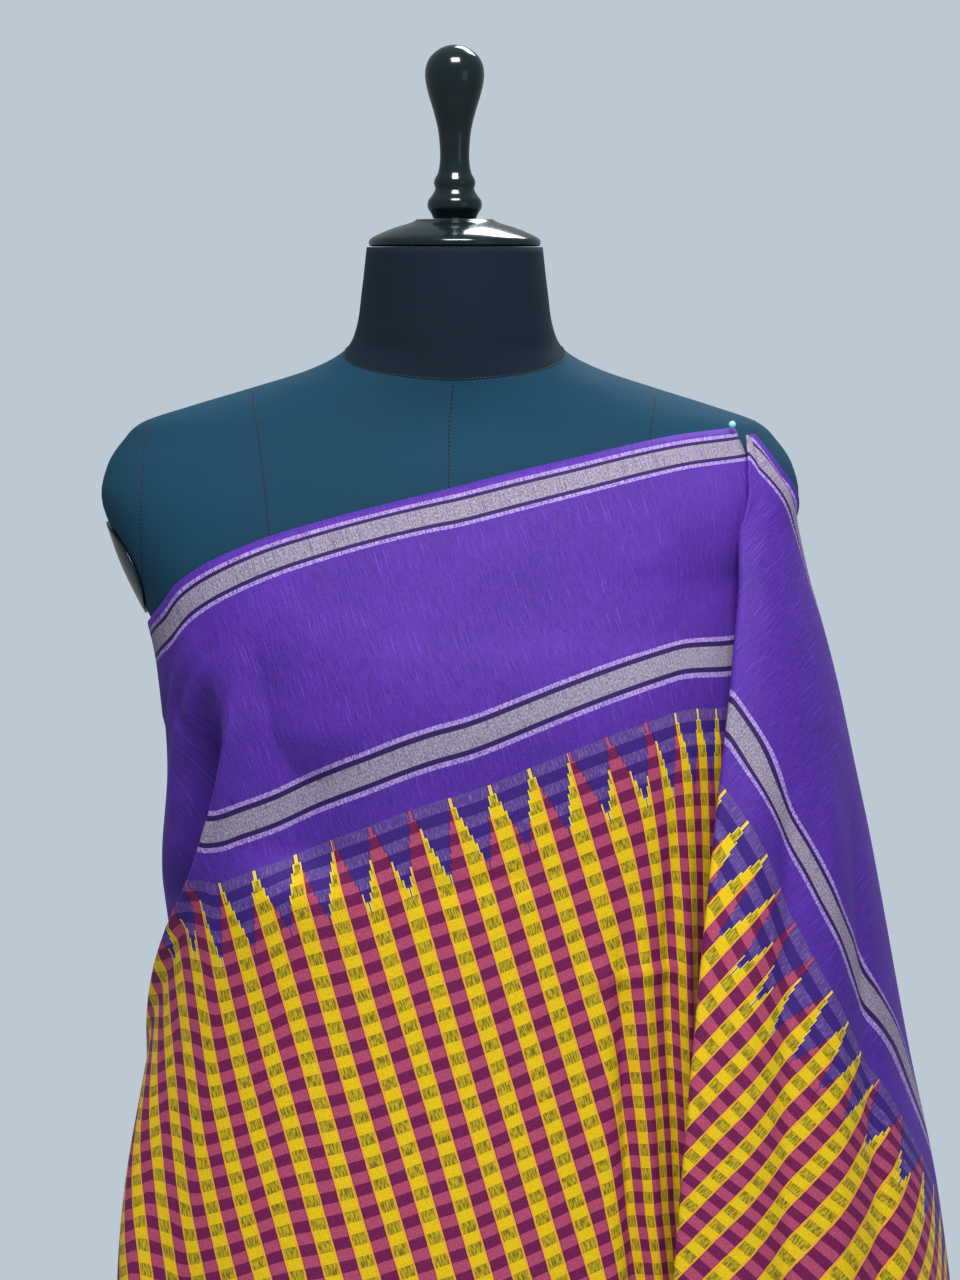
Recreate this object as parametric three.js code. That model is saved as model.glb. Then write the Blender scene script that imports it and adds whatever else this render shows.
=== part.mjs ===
// A saree draped on a limbless dress form that stands on a round base.
// Millimetres, +Z up. The front faces -Y and the wearer's left is +X.
// The origin is the centre of the base's flat underside, on the axis of the pole.

import * as THREE from 'three';
import { mergeVertices } from 'three/addons/utils/BufferGeometryUtils.js';

const DEGREE = Math.PI / 180;

// Driving dimensions

const CLOTH = 1.6;            // wall of the draped cloth
const SEAT = 0.9;             // from the form to the cloth that lies on it
const LAYER = 0.6;            // between two layers of cloth that lie on each other

const FORM_BOTTOM = 800;
const NECK_TOP = 1471;
const WAIST = 1036;           // top of the tucked layers
const HEM = 30;               // lowest edge of the cloth
const PIN_Z = 1361;           // height of the pin on the shoulder

const POLE = { radius: 14, bottom: 62, top: FORM_BOTTOM - 0.4 };
const BASE = { radius: 160, rim: 12, dome: 24, collar: 26, collarTop: 61.6 };

// The dress form: level sections, each a rounded box of four quarter super-ellipses.
// centre is the section's middle in X, side its half width, front and back its depths,
// and power its squareness.
const FORM = readTable(['z', 'centre', 'side', 'front', 'back', 'power'], [
  [800, 0, 152, 96, 104, 2.3],
  [850, 0, 166, 102, 117, 2.3],
  [905, 0, 164, 100, 116, 2.3],
  [970, 0, 141, 89, 99, 2.3],
  [1030, 0, 120, 80, 84, 2.3],
  [1085, 0, 127, 92, 87, 2.4],
  [1135, 0, 140, 116, 93, 2.5],
  [1180, -1, 152, 127, 98, 2.6],
  [1212, -2, 162, 121, 101, 2.6],
  [1240, -3, 182, 112, 102, 2.5],
  [1265, -3, 194, 103, 101, 2.4],
  [1290, -3, 205, 94, 99, 2.3],
  [1317, -3, 215, 83, 93, 2.1],
  [1338, -3, 211, 73, 84, 1.9],
  [1352, -3, 202, 66, 76, 1.7],
  [1364, -3, 189, 61, 71, 1.55],
  [1374, -2, 160, 58.5, 68, 1.5],
  [1385, -1, 124, 57, 66, 1.5],
  [1396, 0, 90, 56.5, 63, 1.6],
  [1407, 0, 69, 56, 60, 1.8],
  [1420, 0, 61, 55.5, 58, 2],
  [1445, 0, 57, 55, 56, 2],
  [1471, 0, 54, 54, 54, 2],
]);

// The first round of the skirt, which hangs from the waist over the hips.
const SKIRT = readTable(['z', 'side', 'front', 'back'], [
  [30, 222, 152, 196],
  [300, 200, 136, 170],
  [600, 177, 119, 141],
  [800, 170, 107, 122],
  [860, 169, 105, 120],
  [905, 167, 103, 118.5],
  [970, 146, 93, 103],
  [1036, 121.3, 81.5, 84.8],
]);

// The outer stretch. Its first half turn runs from the pleats over the wearer's left hip to
// the back, and its last half turn from the back under the right arm and across the chest.
// Where the form is wider than a row, the cloth lies on the form.
const WRAP = readTable(['z', 'firstFront', 'firstSide', 'back', 'lastSide', 'front', 'endSide'], [
  [30, 176, 252, 224, 285, 204, 262],
  [300, 158, 226, 196, 262, 188, 246],
  [600, 137, 199, 164, 236, 169, 230],
  [833, 114, 179, 133, 212, 152, 218],
  [900, 110, 175, 126, 203, 146, 214],
  [976, 98, 157, 117, 189, 139, 210],
  [1040, 88, 130, 109, 182, 135, 207],
  [1100, 88, 132, 102, 180, 132, 204],
  [1150, 88, 140, 100, 176, 130, 202],
  [1192, 88, 150, 101, 178, 127, 200],
  [1224, 88, 170, 101, 181, 119, 199],
  [1250, 88, 186, 101, 186, 108, 199],
  [1290, 86, 186, 96, 186, 92, 196],
  [1330, 70, 180, 80, 180, 72, 188],
  [1365, 55, 160, 62, 160, 56, 165],
]);

// Top and bottom edges of the outer stretch, by the turn's angle in degrees:
// 0 is the wearer's left, 90 the back, 180 the right and 270 the front.
const WRAP_EDGES = readTable(['angle', 'top', 'bottom'], [
  [-64, 1036, 30],
  [0, 1066, 30],
  [45, 1104, 30],
  [90, 1150, 34],
  [135, 1193, 52],
  [165, 1222, 72],
  [180, 1237, 80],
  [190, 1243, 86],
  [199, 1249, 92],
  [208, 1257, 97],
  [218, 1271, 104],
  [233.5, 1289.5, 116],
  [246.5, 1304, 124],
  [275, 1332, 138],
  [299.5, 1347.5, 150],
  [319.5, 1357.5, 160],
  [337, 1361.5, 168],
]);

// How far in X the end of the outer stretch reaches, hidden under the pallu's fold.
const WRAP_END = readTable(['z', 'x'], [
  [130, 130],
  [300, 140],
  [833, 165],
  [1000, 170],
  [1180, 175],
  [1240, 177],
  [1267, 181],
  [1300, 185],
  [1340, 177],
  [1361, 169],
]);

// Main folds of the outer stretch: a ridge stands out, a trough (negative depth) lies in.
// Each runs from one angle and height to another, with its half width in degrees.
const WRAP_FOLDS = [
  { from: 232, top: 1215, to: 194, bottom: 1020, width: 8, depth: 9 },
  { from: 217, top: 1205, to: 182, bottom: 1000, width: 7, depth: -13 },
  { from: 189, top: 1030, to: 238, bottom: 500, width: 9, depth: 10 },
  { from: 176, top: 960, to: 212, bottom: 200, width: 9, depth: -12 },
  { from: 212, top: 800, to: 262, bottom: 60, width: 11, depth: -13 },
  { from: 262, top: 760, to: 282, bottom: 60, width: 10, depth: 12 },
  { from: 282, top: 780, to: 302, bottom: 60, width: 9, depth: -12 },
  { from: 168, top: 760, to: 186, bottom: 60, width: 9, depth: 11 },
  { from: 142, top: 940, to: 150, bottom: 60, width: 10, depth: -12 },
  { from: 116, top: 860, to: 118, bottom: 40, width: 9, depth: 11 },
  { from: 88, top: 940, to: 84, bottom: 40, width: 9, depth: -11 },
  { from: 58, top: 860, to: 52, bottom: 40, width: 9, depth: 10 },
  { from: 28, top: 860, to: 20, bottom: 40, width: 10, depth: -10 },
];

// The pallu: level sections from its fold, at the front, round the side to its selvedge, at
// the back. turn is how many degrees the section goes on past the side.
const PALLU = readTable(['z', 'foldX', 'foldY', 'sideX', 'sideY', 'back', 'turn'], [
  [200, 82, -224, 368, 0, 176, 112],
  [450, 96, -208, 352, 0, 166, 108],
  [700, 110, -190, 330, 0, 157, 93],
  [882, 124.5, -172, 303, 0, 150, 67],
  [975, 132.5, -162, 283, 0, 145, 54],
  [1060, 141, -150, 267, 0, 140, 38],
  [1111, 147, -141, 257, 0, 134, 28],
  [1154, 152.5, -131, 247.5, 0, 126, 20],
  [1202, 160, -115, 237, 0, 112, 12],
  [1240, 165.5, -99, 227, 0, 90, 8],
  [1267, 170, -85, 219, 0, 60, 5],
  [1298, 173, -68, 211.5, -6, 30, 4],
  [1320, 174, -57, 206, -18, 20, 4],
  [1338, 174, -47, 195, -23, 14, 4],
  [1357, 173, -30, 182, -17, 10, 4],
]);
const PALLU_TOP = 1357;
const PALLU_WEDGE = 52;       // degrees between its fold and its selvedge, spread flat
const PALLU_LENGTH = 720;     // along the selvedge, from the pin to the cut end
const PALLU_FALL = 0.983;     // height lost for each millimetre of cloth
const PALLU_RETURN = 46;      // cloth turned back under the fold
const PALLU_FOLD = 2.4;       // radius of the fold
const PALLU_FLUTES = { count: 3.5, depth: 13, start: 1060, full: 300 };

const PLEATS = { count: 6, pitch: 27, middle: -6, depth: 11, slant: 0.36, top: 1028, bottom: 34 };
const PLEAT_SEAT = readTable(['z', 'front', 'spread'], [
  [34, 176, 1.25],
  [300, 159, 1.12],
  [600, 141, 1],
  [850, 125, 0.85],
  [940, 114, 0.72],
  [970, 107, 0.68],
  [1000, 99.5, 0.64],
  [1028, 92.2, 0.6],
]);

// Numbers along a table's rows, joined by smooth curves

function readTable(names, rows) {
  const slopes = rows.map((row, i) => {
    const before = rows[Math.max(i - 1, 0)];
    const after = rows[Math.min(i + 1, rows.length - 1)];
    return row.map((_, k) => (after[k] - before[k]) / (after[0] - before[0]));
  });
  return (key) => {
    const place = Math.min(Math.max(key, rows[0][0]), rows[rows.length - 1][0]);
    let i = 0;
    while (i < rows.length - 2 && place > rows[i + 1][0]) i += 1;
    const span = rows[i + 1][0] - rows[i][0];
    const t = (place - rows[i][0]) / span;
    const entry = {};
    names.forEach((name, k) => {
      const start = (2 * t ** 3 - 3 * t ** 2 + 1) * rows[i][k];
      const leave = (t ** 3 - 2 * t ** 2 + t) * span * slopes[i][k];
      const end = (3 * t ** 2 - 2 * t ** 3) * rows[i + 1][k];
      const arrive = (t ** 3 - t ** 2) * span * slopes[i + 1][k];
      entry[name] = start + leave + end + arrive;
    });
    return entry;
  };
}

function mix(a, b, t) {
  return a + (b - a) * t;
}

function ease(t) {
  const clamped = Math.min(Math.max(t, 0), 1);
  return clamped * clamped * (3 - 2 * clamped);
}

// A point of a rounded section: side along X and depth along Y, at an angle in degrees.
function sectionPoint(centre, side, depth, power, angle, z) {
  const c = Math.cos(angle * DEGREE);
  const s = Math.sin(angle * DEGREE);
  const x = centre + side * Math.sign(c) * Math.abs(c) ** (2 / power);
  const y = depth * Math.sign(s) * Math.abs(s) ** (2 / power);
  return new THREE.Vector3(x, y, z);
}

// Closed bodies from grids of points

function bodyFrom(points, faces) {
  const geometry = new THREE.BufferGeometry();
  const position = new Float32Array(points.flatMap((p) => [p.x, p.y, p.z]));
  geometry.setAttribute('position', new THREE.BufferAttribute(position, 3));
  let volume = 0;
  for (const [a, b, c] of faces) {
    volume += points[a].dot(points[b].clone().cross(points[c]));
  }
  const outward = volume > 0 ? faces : faces.map(([a, b, c]) => [a, c, b]);
  geometry.setIndex(outward.flat());
  const merged = mergeVertices(geometry, 1e-4);
  merged.computeVertexNormals();
  return merged;
}

// Stacked rings, closed at both ends with a flat fan.
function stackedBody(rings) {
  const count = rings[0].length;
  const points = rings.flat();
  const faces = [];
  for (let j = 0; j + 1 < rings.length; j += 1) {
    for (let i = 0; i < count; i += 1) {
      const next = (i + 1) % count;
      const a = j * count + i;
      const b = j * count + next;
      faces.push([a, b, a + count], [b, b + count, a + count]);
    }
  }
  for (const [j, flip] of [[0, true], [rings.length - 1, false]]) {
    const middle = new THREE.Vector3();
    rings[j].forEach((p) => middle.add(p));
    points.push(middle.divideScalar(count));
    for (let i = 0; i < count; i += 1) {
      const a = j * count + i;
      const b = j * count + ((i + 1) % count);
      faces.push(flip ? [b, a, points.length - 1] : [a, b, points.length - 1]);
    }
  }
  return bodyFrom(points, faces);
}

// A wall of cloth. surface(s, t) gives its inner side for s and t from 0 to 1, and the outer
// side is that moved out by the cloth's thickness. A tube joins s = 1 to s = 0.
function clothWall(surface, columns, rows, { tube = false, outward }) {
  const across = tube ? columns : columns + 1;
  const step = 1e-3;
  const inner = [];
  const outer = [];
  for (let j = 0; j <= rows; j += 1) {
    for (let i = 0; i < across; i += 1) {
      const s = i / columns;
      const t = j / rows;
      const s0 = tube ? s - step : Math.max(s - step, 0);
      const s1 = tube ? s + step : Math.min(s + step, 1);
      const alongS = surface(s1, t).sub(surface(s0, t));
      const alongT = surface(s, Math.min(t + step, 1)).sub(surface(s, Math.max(t - step, 0)));
      const normal = alongS.cross(alongT).normalize().multiplyScalar(outward);
      const point = surface(s, t);
      inner.push(point);
      outer.push(point.clone().addScaledVector(normal, CLOTH));
    }
  }
  const points = [...outer, ...inner];
  const shift = outer.length;
  const at = (i, j) => j * across + (i % across);
  const faces = [];
  const quad = (a, b, c, d) => faces.push([a, b, c], [a, c, d]);
  for (let j = 0; j < rows; j += 1) {
    for (let i = 0; i < columns; i += 1) {
      quad(at(i, j), at(i + 1, j), at(i + 1, j + 1), at(i, j + 1));
      quad(at(i, j) + shift, at(i, j + 1) + shift, at(i + 1, j + 1) + shift, at(i + 1, j) + shift);
    }
  }
  for (let i = 0; i < columns; i += 1) {
    quad(at(i + 1, 0), at(i, 0), at(i, 0) + shift, at(i + 1, 0) + shift);
    quad(at(i, rows), at(i + 1, rows), at(i + 1, rows) + shift, at(i, rows) + shift);
  }
  if (!tube) {
    for (let j = 0; j < rows; j += 1) {
      quad(at(0, j), at(0, j + 1), at(0, j + 1) + shift, at(0, j) + shift);
      quad(at(columns, j + 1), at(columns, j), at(columns, j) + shift, at(columns, j + 1) + shift);
    }
  }
  return bodyFrom(points, faces);
}

// The dress form

function formPoint(angle, z, offset = 0) {
  const section = FORM(z);
  const depth = angle % 360 > 180 ? section.front : section.back;
  return sectionPoint(section.centre, section.side + offset, depth + offset, section.power, angle, z);
}

function formBody() {
  const levels = [
    800, 850, 905, 970, 1030, 1085, 1135, 1180, 1212, 1240, 1265, 1290, 1317, 1338, 1352, 1364,
    1374, 1385, 1396, 1407, 1420, NECK_TOP,
  ];
  const sides = 44;
  const ringAt = (z) => Array.from({ length: sides }, (_, i) => formPoint((i * 360) / sides, z));
  return stackedBody(levels.map(ringAt));
}

function turned(profile, sides) {
  const corners = profile.map(([radius, z]) => new THREE.Vector2(radius, z));
  const geometry = new THREE.LatheGeometry(corners, sides);
  geometry.rotateX(Math.PI / 2);
  geometry.deleteAttribute('normal');
  geometry.deleteAttribute('uv');
  const merged = mergeVertices(geometry, 1e-3);
  const place = merged.getAttribute('position');
  const points = [];
  for (let i = 0; i < place.count; i += 1) points.push(new THREE.Vector3().fromBufferAttribute(place, i));
  const index = Array.from(merged.getIndex().array);
  const faces = [];
  for (let i = 0; i < index.length; i += 3) {
    const face = index.slice(i, i + 3);
    if (new Set(face).size === 3) faces.push(face);
  }
  return bodyFrom(points, faces);
}

function neckCap() {
  const bottom = NECK_TOP + 0.4;
  return turned([
    [0, bottom], [52.7, bottom], [52.7, bottom + 3], [50, bottom + 6.5], [42, bottom + 10],
    [30, bottom + 13.4], [23.6, bottom + 16.5], [0, bottom + 16.5],
  ], 32);
}

function finial() {
  const bottom = NECK_TOP + 17.3;
  return turned([
    [0, bottom], [13, bottom], [14.5, bottom + 3], [16.6, bottom + 8.5], [14.5, bottom + 15],
    [11.6, bottom + 18.6], [12.6, bottom + 22], [11.4, bottom + 26], [9, bottom + 36],
    [10.3, bottom + 55], [15, bottom + 74], [18, bottom + 86], [16.6, bottom + 94],
    [11.4, bottom + 101.4], [5, bottom + 104.6], [0, bottom + 105.4],
  ], 28);
}

// An oval end plate that lies on the outer, lower side of an arm cap.
function armPlate(middle) {
  const plate = { z: 1275, halfHeight: 28, halfAngle: 19, gap: 1, rim: 0.8, dome: 1.8 };
  const sides = 20;
  const ring = (size, lift) => Array.from({ length: sides }, (_, i) => {
    const turn = (i * 2 * Math.PI) / sides;
    const angle = middle + size * plate.halfAngle * Math.cos(turn);
    const z = plate.z + size * plate.halfHeight * Math.sin(turn);
    const level = FORM(z);
    const climb = (FORM(z + 1).side - FORM(z - 1).side) / 2;
    const skin = formPoint((angle + 360) % 360, z);
    const out = new THREE.Vector3(skin.x - level.centre, skin.y, 0).normalize();
    return skin.add(out.add(new THREE.Vector3(0, 0, -climb)).normalize().multiplyScalar(lift));
  });
  const rise = (size) => plate.gap + plate.rim + plate.dome * (1 - size * size);
  return stackedBody([
    ring(0.4, plate.gap), ring(0.75, plate.gap), ring(1, plate.gap), ring(1, rise(1)),
    ring(0.75, rise(0.75)), ring(0.4, rise(0.4)),
  ]);
}

function standBase() {
  return turned([
    [0, 0], [BASE.radius, 0], [BASE.radius, BASE.rim - 3], [BASE.radius - 4, BASE.rim],
    [90, BASE.dome - 4], [BASE.collar + 8, BASE.dome], [BASE.collar, BASE.dome + 8],
    [BASE.collar - 4, BASE.collarTop], [0, BASE.collarTop],
  ], 40);
}

function pole() {
  return turned([
    [0, POLE.bottom], [POLE.radius, POLE.bottom], [POLE.radius, POLE.top], [0, POLE.top],
  ], 24);
}

// The cloth

function skirtWrap() {
  const folds = { count: 9, depth: 5, start: 790 };
  const surface = (s, t) => {
    const angle = (s * 360 + 360) % 360;
    const z = mix(WAIST, HEM, t);
    const size = SKIRT(z);
    const growth = ease((folds.start - z) / (folds.start - HEM));
    const wave = folds.depth * growth * Math.sin(folds.count * angle * DEGREE);
    const depth = angle > 180 ? size.front : size.back;
    const clear = SEAT + wave;
    return sectionPoint(0, size.side + clear, depth + clear, FORM(Math.max(z, FORM_BOTTOM)).power, angle, z);
  };
  return clothWall(surface, 54, 8, { tube: true, outward: -1 });
}

function frontPleats() {
  const surface = (s, t) => {
    const z = mix(PLEATS.top, PLEATS.bottom, t);
    const seat = PLEAT_SEAT(z);
    const turns = s * PLEATS.count;
    const lean = PLEATS.slant * Math.sin(2 * Math.PI * turns);
    const x = PLEATS.middle + seat.spread * PLEATS.pitch * (turns - PLEATS.count / 2 + lean);
    const swell = mix(0.4, 1, ease((PLEATS.top - z) / 500));
    const bow = (x / 260) ** 2 * 60;
    const y = -seat.front + bow + PLEATS.depth * swell * Math.cos(2 * Math.PI * turns);
    return new THREE.Vector3(x, y, z);
  };
  return clothWall(surface, PLEATS.count * 8, 6, { outward: 1 });
}

function foldDepth(angle, z) {
  let depth = 0;
  for (const fold of WRAP_FOLDS) {
    const along = (fold.top - z) / (fold.top - fold.bottom);
    const middle = mix(fold.from, fold.to, Math.min(Math.max(along, 0), 1));
    const growth = ease(along * 2.5) * ease((1.35 - along) * 4);
    depth += fold.depth * growth * Math.exp(-(((angle - middle) / fold.width) ** 2));
  }
  return depth;
}

function wrapPoint(angle, z, offset) {
  const size = WRAP(z);
  const form = FORM(Math.max(z, FORM_BOTTOM));
  let side = angle < 90 ? size.firstSide : size.lastSide;
  if (angle > 270) side = size.endSide;
  let depth = angle < 0 ? size.firstFront : size.back;
  if (angle > 180) depth = size.front;
  const skin = angle > 180 || angle < 0 ? form.front : form.back;
  const lift = offset + foldDepth(angle, z);
  const centre = z > 1180 ? form.centre : 0;
  const reach = Math.max(side, form.side) + lift;
  return sectionPoint(centre, reach, Math.max(depth, skin) + lift, form.power, angle, z);
}

function wrapEndAngle(z) {
  const form = FORM(Math.max(z, FORM_BOTTOM));
  const side = Math.max(WRAP(z).endSide, form.side) + SEAT;
  const share = (WRAP_END(z).x - form.centre) / side;
  return 360 - Math.acos(share ** (form.power / 2)) / DEGREE;
}

function bodyDrape() {
  const start = -64;
  const nominalEnd = 337;
  const surface = (s, t) => {
    const nominal = mix(start, nominalEnd, s);
    const edges = WRAP_EDGES(nominal);
    const z = mix(edges.top, edges.bottom, t ** 1.4);
    const nearEnd = ease((nominal - 270) / (nominalEnd - 270));
    const angle = nominal + (wrapEndAngle(z) - nominalEnd) * nearEnd;
    // A little more room over the shoulder, where the form curves most
    const shoulder = 1.4 * ease((z - 1262) / 30) * ease((nominal - 275) / 30);
    return wrapPoint(angle, z, SEAT + shoulder);
  };
  return clothWall(surface, 62, 22, { outward: -1 });
}

// Moves a point level outwards until it clears the form and the cloth under the pallu.
function keepOut(point, gap) {
  const form = FORM(Math.max(point.z, FORM_BOTTOM));
  const size = WRAP(point.z);
  const front = point.y < 0;
  const side = Math.max(form.side, front ? size.endSide : size.firstSide) + gap;
  const depth = (front ? Math.max(form.front, size.front) : Math.max(form.back, size.back)) + gap;
  const centre = point.z > 1180 ? form.centre : 0;
  const across = Math.abs((point.x - centre) / side) ** form.power;
  const along = Math.abs(point.y / depth) ** form.power;
  const share = (across + along) ** (1 / form.power);
  if (share < 1) {
    point.x = centre + (point.x - centre) / share;
    point.y /= share;
  }
  return point;
}

// Lengths of the pallu's level section: from the fold to the side, and on to the selvedge.
function palluLengths(z) {
  const row = PALLU(z);
  const wide = row.sideX - row.foldX;
  return {
    front: Math.hypot(wide, row.sideY - row.foldY) * 1.11,
    rear: (row.turn * DEGREE * (row.back + wide)) / 2,
  };
}

// A point of the pallu's panel, at a distance round its level section from the fold.
function palluPanel(path, z) {
  const row = PALLU(z);
  const { front, rear } = palluLengths(z);
  const place = path / (front + rear);
  const { count, depth, start, full } = PALLU_FLUTES;
  const growth = ease((start - z) / (start - full));
  const wave = growth * depth * Math.sin(2 * Math.PI * count * place) * ease(place * 6);
  const across = row.sideX - row.foldX + wave;
  if (path < front) {
    const turn = (path / front) * 90 * DEGREE;
    const y = row.sideY + (row.foldY - row.sideY - wave) * Math.cos(turn);
    return new THREE.Vector3(row.foldX + across * Math.sin(turn), y, z);
  }
  const turn = ((path - front) / rear) * row.turn * DEGREE;
  const y = row.sideY + (row.back + wave) * Math.sin(turn);
  return new THREE.Vector3(row.foldX + across * Math.cos(turn), y, z);
}

// The cloth turned back under the fold, at a distance from the fold's outermost line. It
// goes round the fold and then follows the hidden side of the panel.
function palluReturn(path, z) {
  const bend = Math.min(path / PALLU_FOLD, Math.PI);
  const under = Math.max(path - Math.PI * PALLU_FOLD, 0);
  const point = palluPanel(under, z);
  const ahead = palluPanel(under + 1, z).sub(point);
  const inward = new THREE.Vector3(-ahead.y, ahead.x, 0).setLength(PALLU_FOLD * (1 - Math.cos(bend)));
  point.x -= PALLU_FOLD * Math.sin(bend);
  return point.add(inward);
}

function pallu() {
  const returnShare = 0.2;
  const turnLength = Math.PI * PALLU_FOLD;
  const surface = (s, t) => {
    const place = s < returnShare ? s / returnShare - 1 : (s - returnShare) / (1 - returnShare);
    const wedge = PALLU_WEDGE * (1 - Math.max(place, 0)) * DEGREE;
    const bottom = PIN_Z - (PALLU_LENGTH / Math.cos(wedge)) * PALLU_FALL;
    const z = mix(PALLU_TOP, bottom, t ** 1.5);
    const slope = ease((z - 1290) / 60);   // the shoulder turns from upright to nearly level
    const bare = ease((z - 1180) / 60) * ease((place - 0.4) * 3);   // no cloth under it there
    const lying = SEAT + (CLOTH + LAYER) * (1 - bare) + mix(3.4, 0.4, bare) * slope;
    const over = lying + CLOTH + 2 * PALLU_FOLD;
    if (place >= 0) {
      const { front, rear } = palluLengths(z);
      const gap = mix(over, lying, ease((place - 0.15) * 1.8));
      return keepOut(palluPanel(place * (front + rear), z), gap);
    }
    const path = -place * (turnLength + PALLU_RETURN * ease((1345 - z) / 120) + 2);
    return keepOut(palluReturn(path, z), mix(over, lying + CLOTH, Math.min(path / turnLength, 1)));
  };
  return clothWall(surface, 35, 20, { outward: -1 });
}

// Materials and the scene graph

const jersey = new THREE.MeshStandardMaterial({ color: 0x24505f, roughness: 0.85, metalness: 0 });
const gloss = new THREE.MeshStandardMaterial({ color: 0x0d1416, roughness: 0.15, metalness: 0.2 });
const painted = new THREE.MeshStandardMaterial({ color: 0x1b1f22, roughness: 0.4, metalness: 0.6 });
const purple = new THREE.MeshStandardMaterial({ color: 0x542fa0, roughness: 0.6, metalness: 0 });
const checked = new THREE.MeshStandardMaterial({ color: 0x9a6a30, roughness: 0.6, metalness: 0 });

const object = new THREE.Group();

function add(name, geometry, material) {
  const mesh = new THREE.Mesh(geometry, material);
  mesh.name = name;
  object.add(mesh);
}

add('form_body', formBody(), jersey);
add('neck_cap', neckCap(), gloss);
add('finial', finial(), gloss);
add('arm_plate_left', armPlate(0), gloss);
add('arm_plate_right', armPlate(180), gloss);
add('pole', pole(), painted);
add('stand_base', standBase(), painted);
add('skirt_wrap', skirtWrap(), checked);
add('front_pleats', frontPleats(), checked);
add('body_drape', bodyDrape(), checked);
add('pallu', pallu(), purple);

export default object;
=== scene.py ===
# %% [markdown]
# # A saree draped on a dress form
# The saree is one long length of cloth, so this lesson builds it as four stretches of the same
# cloth: the skirt's first round, the pleats, the long outer stretch that crosses the chest, and
# the free end over the shoulder. The CAD model is loaded first as a fixed frame in metres.
# Nothing made here may grow past it.

# %% Load the frame
import math
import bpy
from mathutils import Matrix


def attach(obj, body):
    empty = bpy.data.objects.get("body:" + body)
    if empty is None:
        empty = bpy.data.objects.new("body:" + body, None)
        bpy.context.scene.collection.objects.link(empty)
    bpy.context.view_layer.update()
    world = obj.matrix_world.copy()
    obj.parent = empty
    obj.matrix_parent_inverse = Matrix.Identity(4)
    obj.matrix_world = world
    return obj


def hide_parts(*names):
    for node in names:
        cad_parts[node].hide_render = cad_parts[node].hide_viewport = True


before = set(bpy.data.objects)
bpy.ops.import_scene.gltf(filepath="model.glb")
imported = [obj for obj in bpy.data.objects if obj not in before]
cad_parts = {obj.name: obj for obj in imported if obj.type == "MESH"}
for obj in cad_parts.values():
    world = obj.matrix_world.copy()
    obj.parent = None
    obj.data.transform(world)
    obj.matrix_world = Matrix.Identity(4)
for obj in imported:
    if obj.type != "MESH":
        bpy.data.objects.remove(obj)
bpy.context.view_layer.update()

from types import SimpleNamespace

import bpy
import numpy as np
from mathutils import Vector

# %% [markdown]
# ## Camera
# The photograph was taken standing, at about the height of the neck, from a little over two
# metres away. A long lens at that distance keeps the shoulders and the hips at their true
# proportions, which a wide lens close by would not.

# %% Place the camera
EYE = (0.0155, -2.2, 1.46)
PITCH = math.radians(-6.0)
LENS = 100.3

lens = bpy.data.cameras.new("photograph_view")
lens.lens = LENS
lens.sensor_width = 36.0
lens.clip_end = 50.0
camera = bpy.data.objects.new("photograph_view", lens)
camera.location = EYE
camera.rotation_euler = (math.pi / 2 + PITCH, 0.0, 0.0)
bpy.context.scene.collection.objects.link(camera)
bpy.context.scene.camera = camera
bpy.context.scene.view_settings.view_transform = "Standard"
print("camera", EYE, "lens", LENS)

# %% [markdown]
# ## Materials as fields
# A woven pattern is arithmetic on two numbers: how far along the cloth a point lies, and how far
# across. Blender's Math nodes can do that arithmetic, but wiring them by hand hides the idea.
# The small Field class below lets a material be written as ordinary sums, and each sum adds one
# Math node to the tree.

# %% Helpers that write node trees
MM = 0.001


def linear(red, green, blue):
    """A colour picked as 0 to 255 screen values, as the linear values that shaders use."""
    def one(value):
        value = value / 255
        return value / 12.92 if value <= 0.04045 else ((value + 0.055) / 1.055) ** 2.4
    return (one(red), one(green), one(blue), 1.0)


def feed(tree, entry, value):
    """Gives a node's input a field, another node's output or a plain value."""
    if isinstance(value, Field):
        value = value.socket
    if isinstance(value, bpy.types.NodeSocket):
        tree.links.new(value, entry)
    else:
        entry.default_value = value


class Field:
    """A number that varies over a surface, held as the output of a node."""

    def __init__(self, tree, socket):
        self.tree = tree
        self.socket = socket

    def math(self, operation, *others):
        node = self.tree.nodes.new("ShaderNodeMath")
        node.operation = operation
        for entry, value in zip(node.inputs, (self, *others)):
            feed(self.tree, entry, value)
        return Field(self.tree, node.outputs[0])

    def between(self, low, high):
        return self.above(low) * self.below(high)


def field_sum(operation):
    return lambda self, *others: self.math(operation, *others)


for sign, operation in {
    "__add__": "ADD", "__sub__": "SUBTRACT", "__mul__": "MULTIPLY", "__truediv__": "DIVIDE",
    "above": "GREATER_THAN", "below": "LESS_THAN", "least": "MINIMUM", "most": "MAXIMUM",
    "fraction": "FRACT", "floor": "FLOOR", "size": "ABSOLUTE",
}.items():
    setattr(Field, sign, field_sum(operation))


# %% Mixing, noise and relief
def blend(tree, share, first, second):
    """A colour that goes from first to second as share goes from 0 to 1."""
    node = tree.nodes.new("ShaderNodeMix")
    node.data_type = "RGBA"
    for number, value in ((0, share), (6, first), (7, second)):
        feed(tree, node.inputs[number], value)
    return node.outputs[2]


def noise(tree, vector, scale, detail=2.0):
    """Smooth random variation from 0 to 1, at so many lumps a metre."""
    node = tree.nodes.new("ShaderNodeTexNoise")
    node.inputs["Scale"].default_value = scale
    node.inputs["Detail"].default_value = detail
    tree.links.new(vector, node.inputs["Vector"])
    return Field(tree, node.outputs[0])


def combine(tree, x, y, z=0.0):
    """A vector socket from three fields or numbers."""
    node = tree.nodes.new("ShaderNodeCombineXYZ")
    for entry, value in zip(node.inputs, (x, y, z)):
        feed(tree, entry, value)
    return node.outputs[0]


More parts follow.
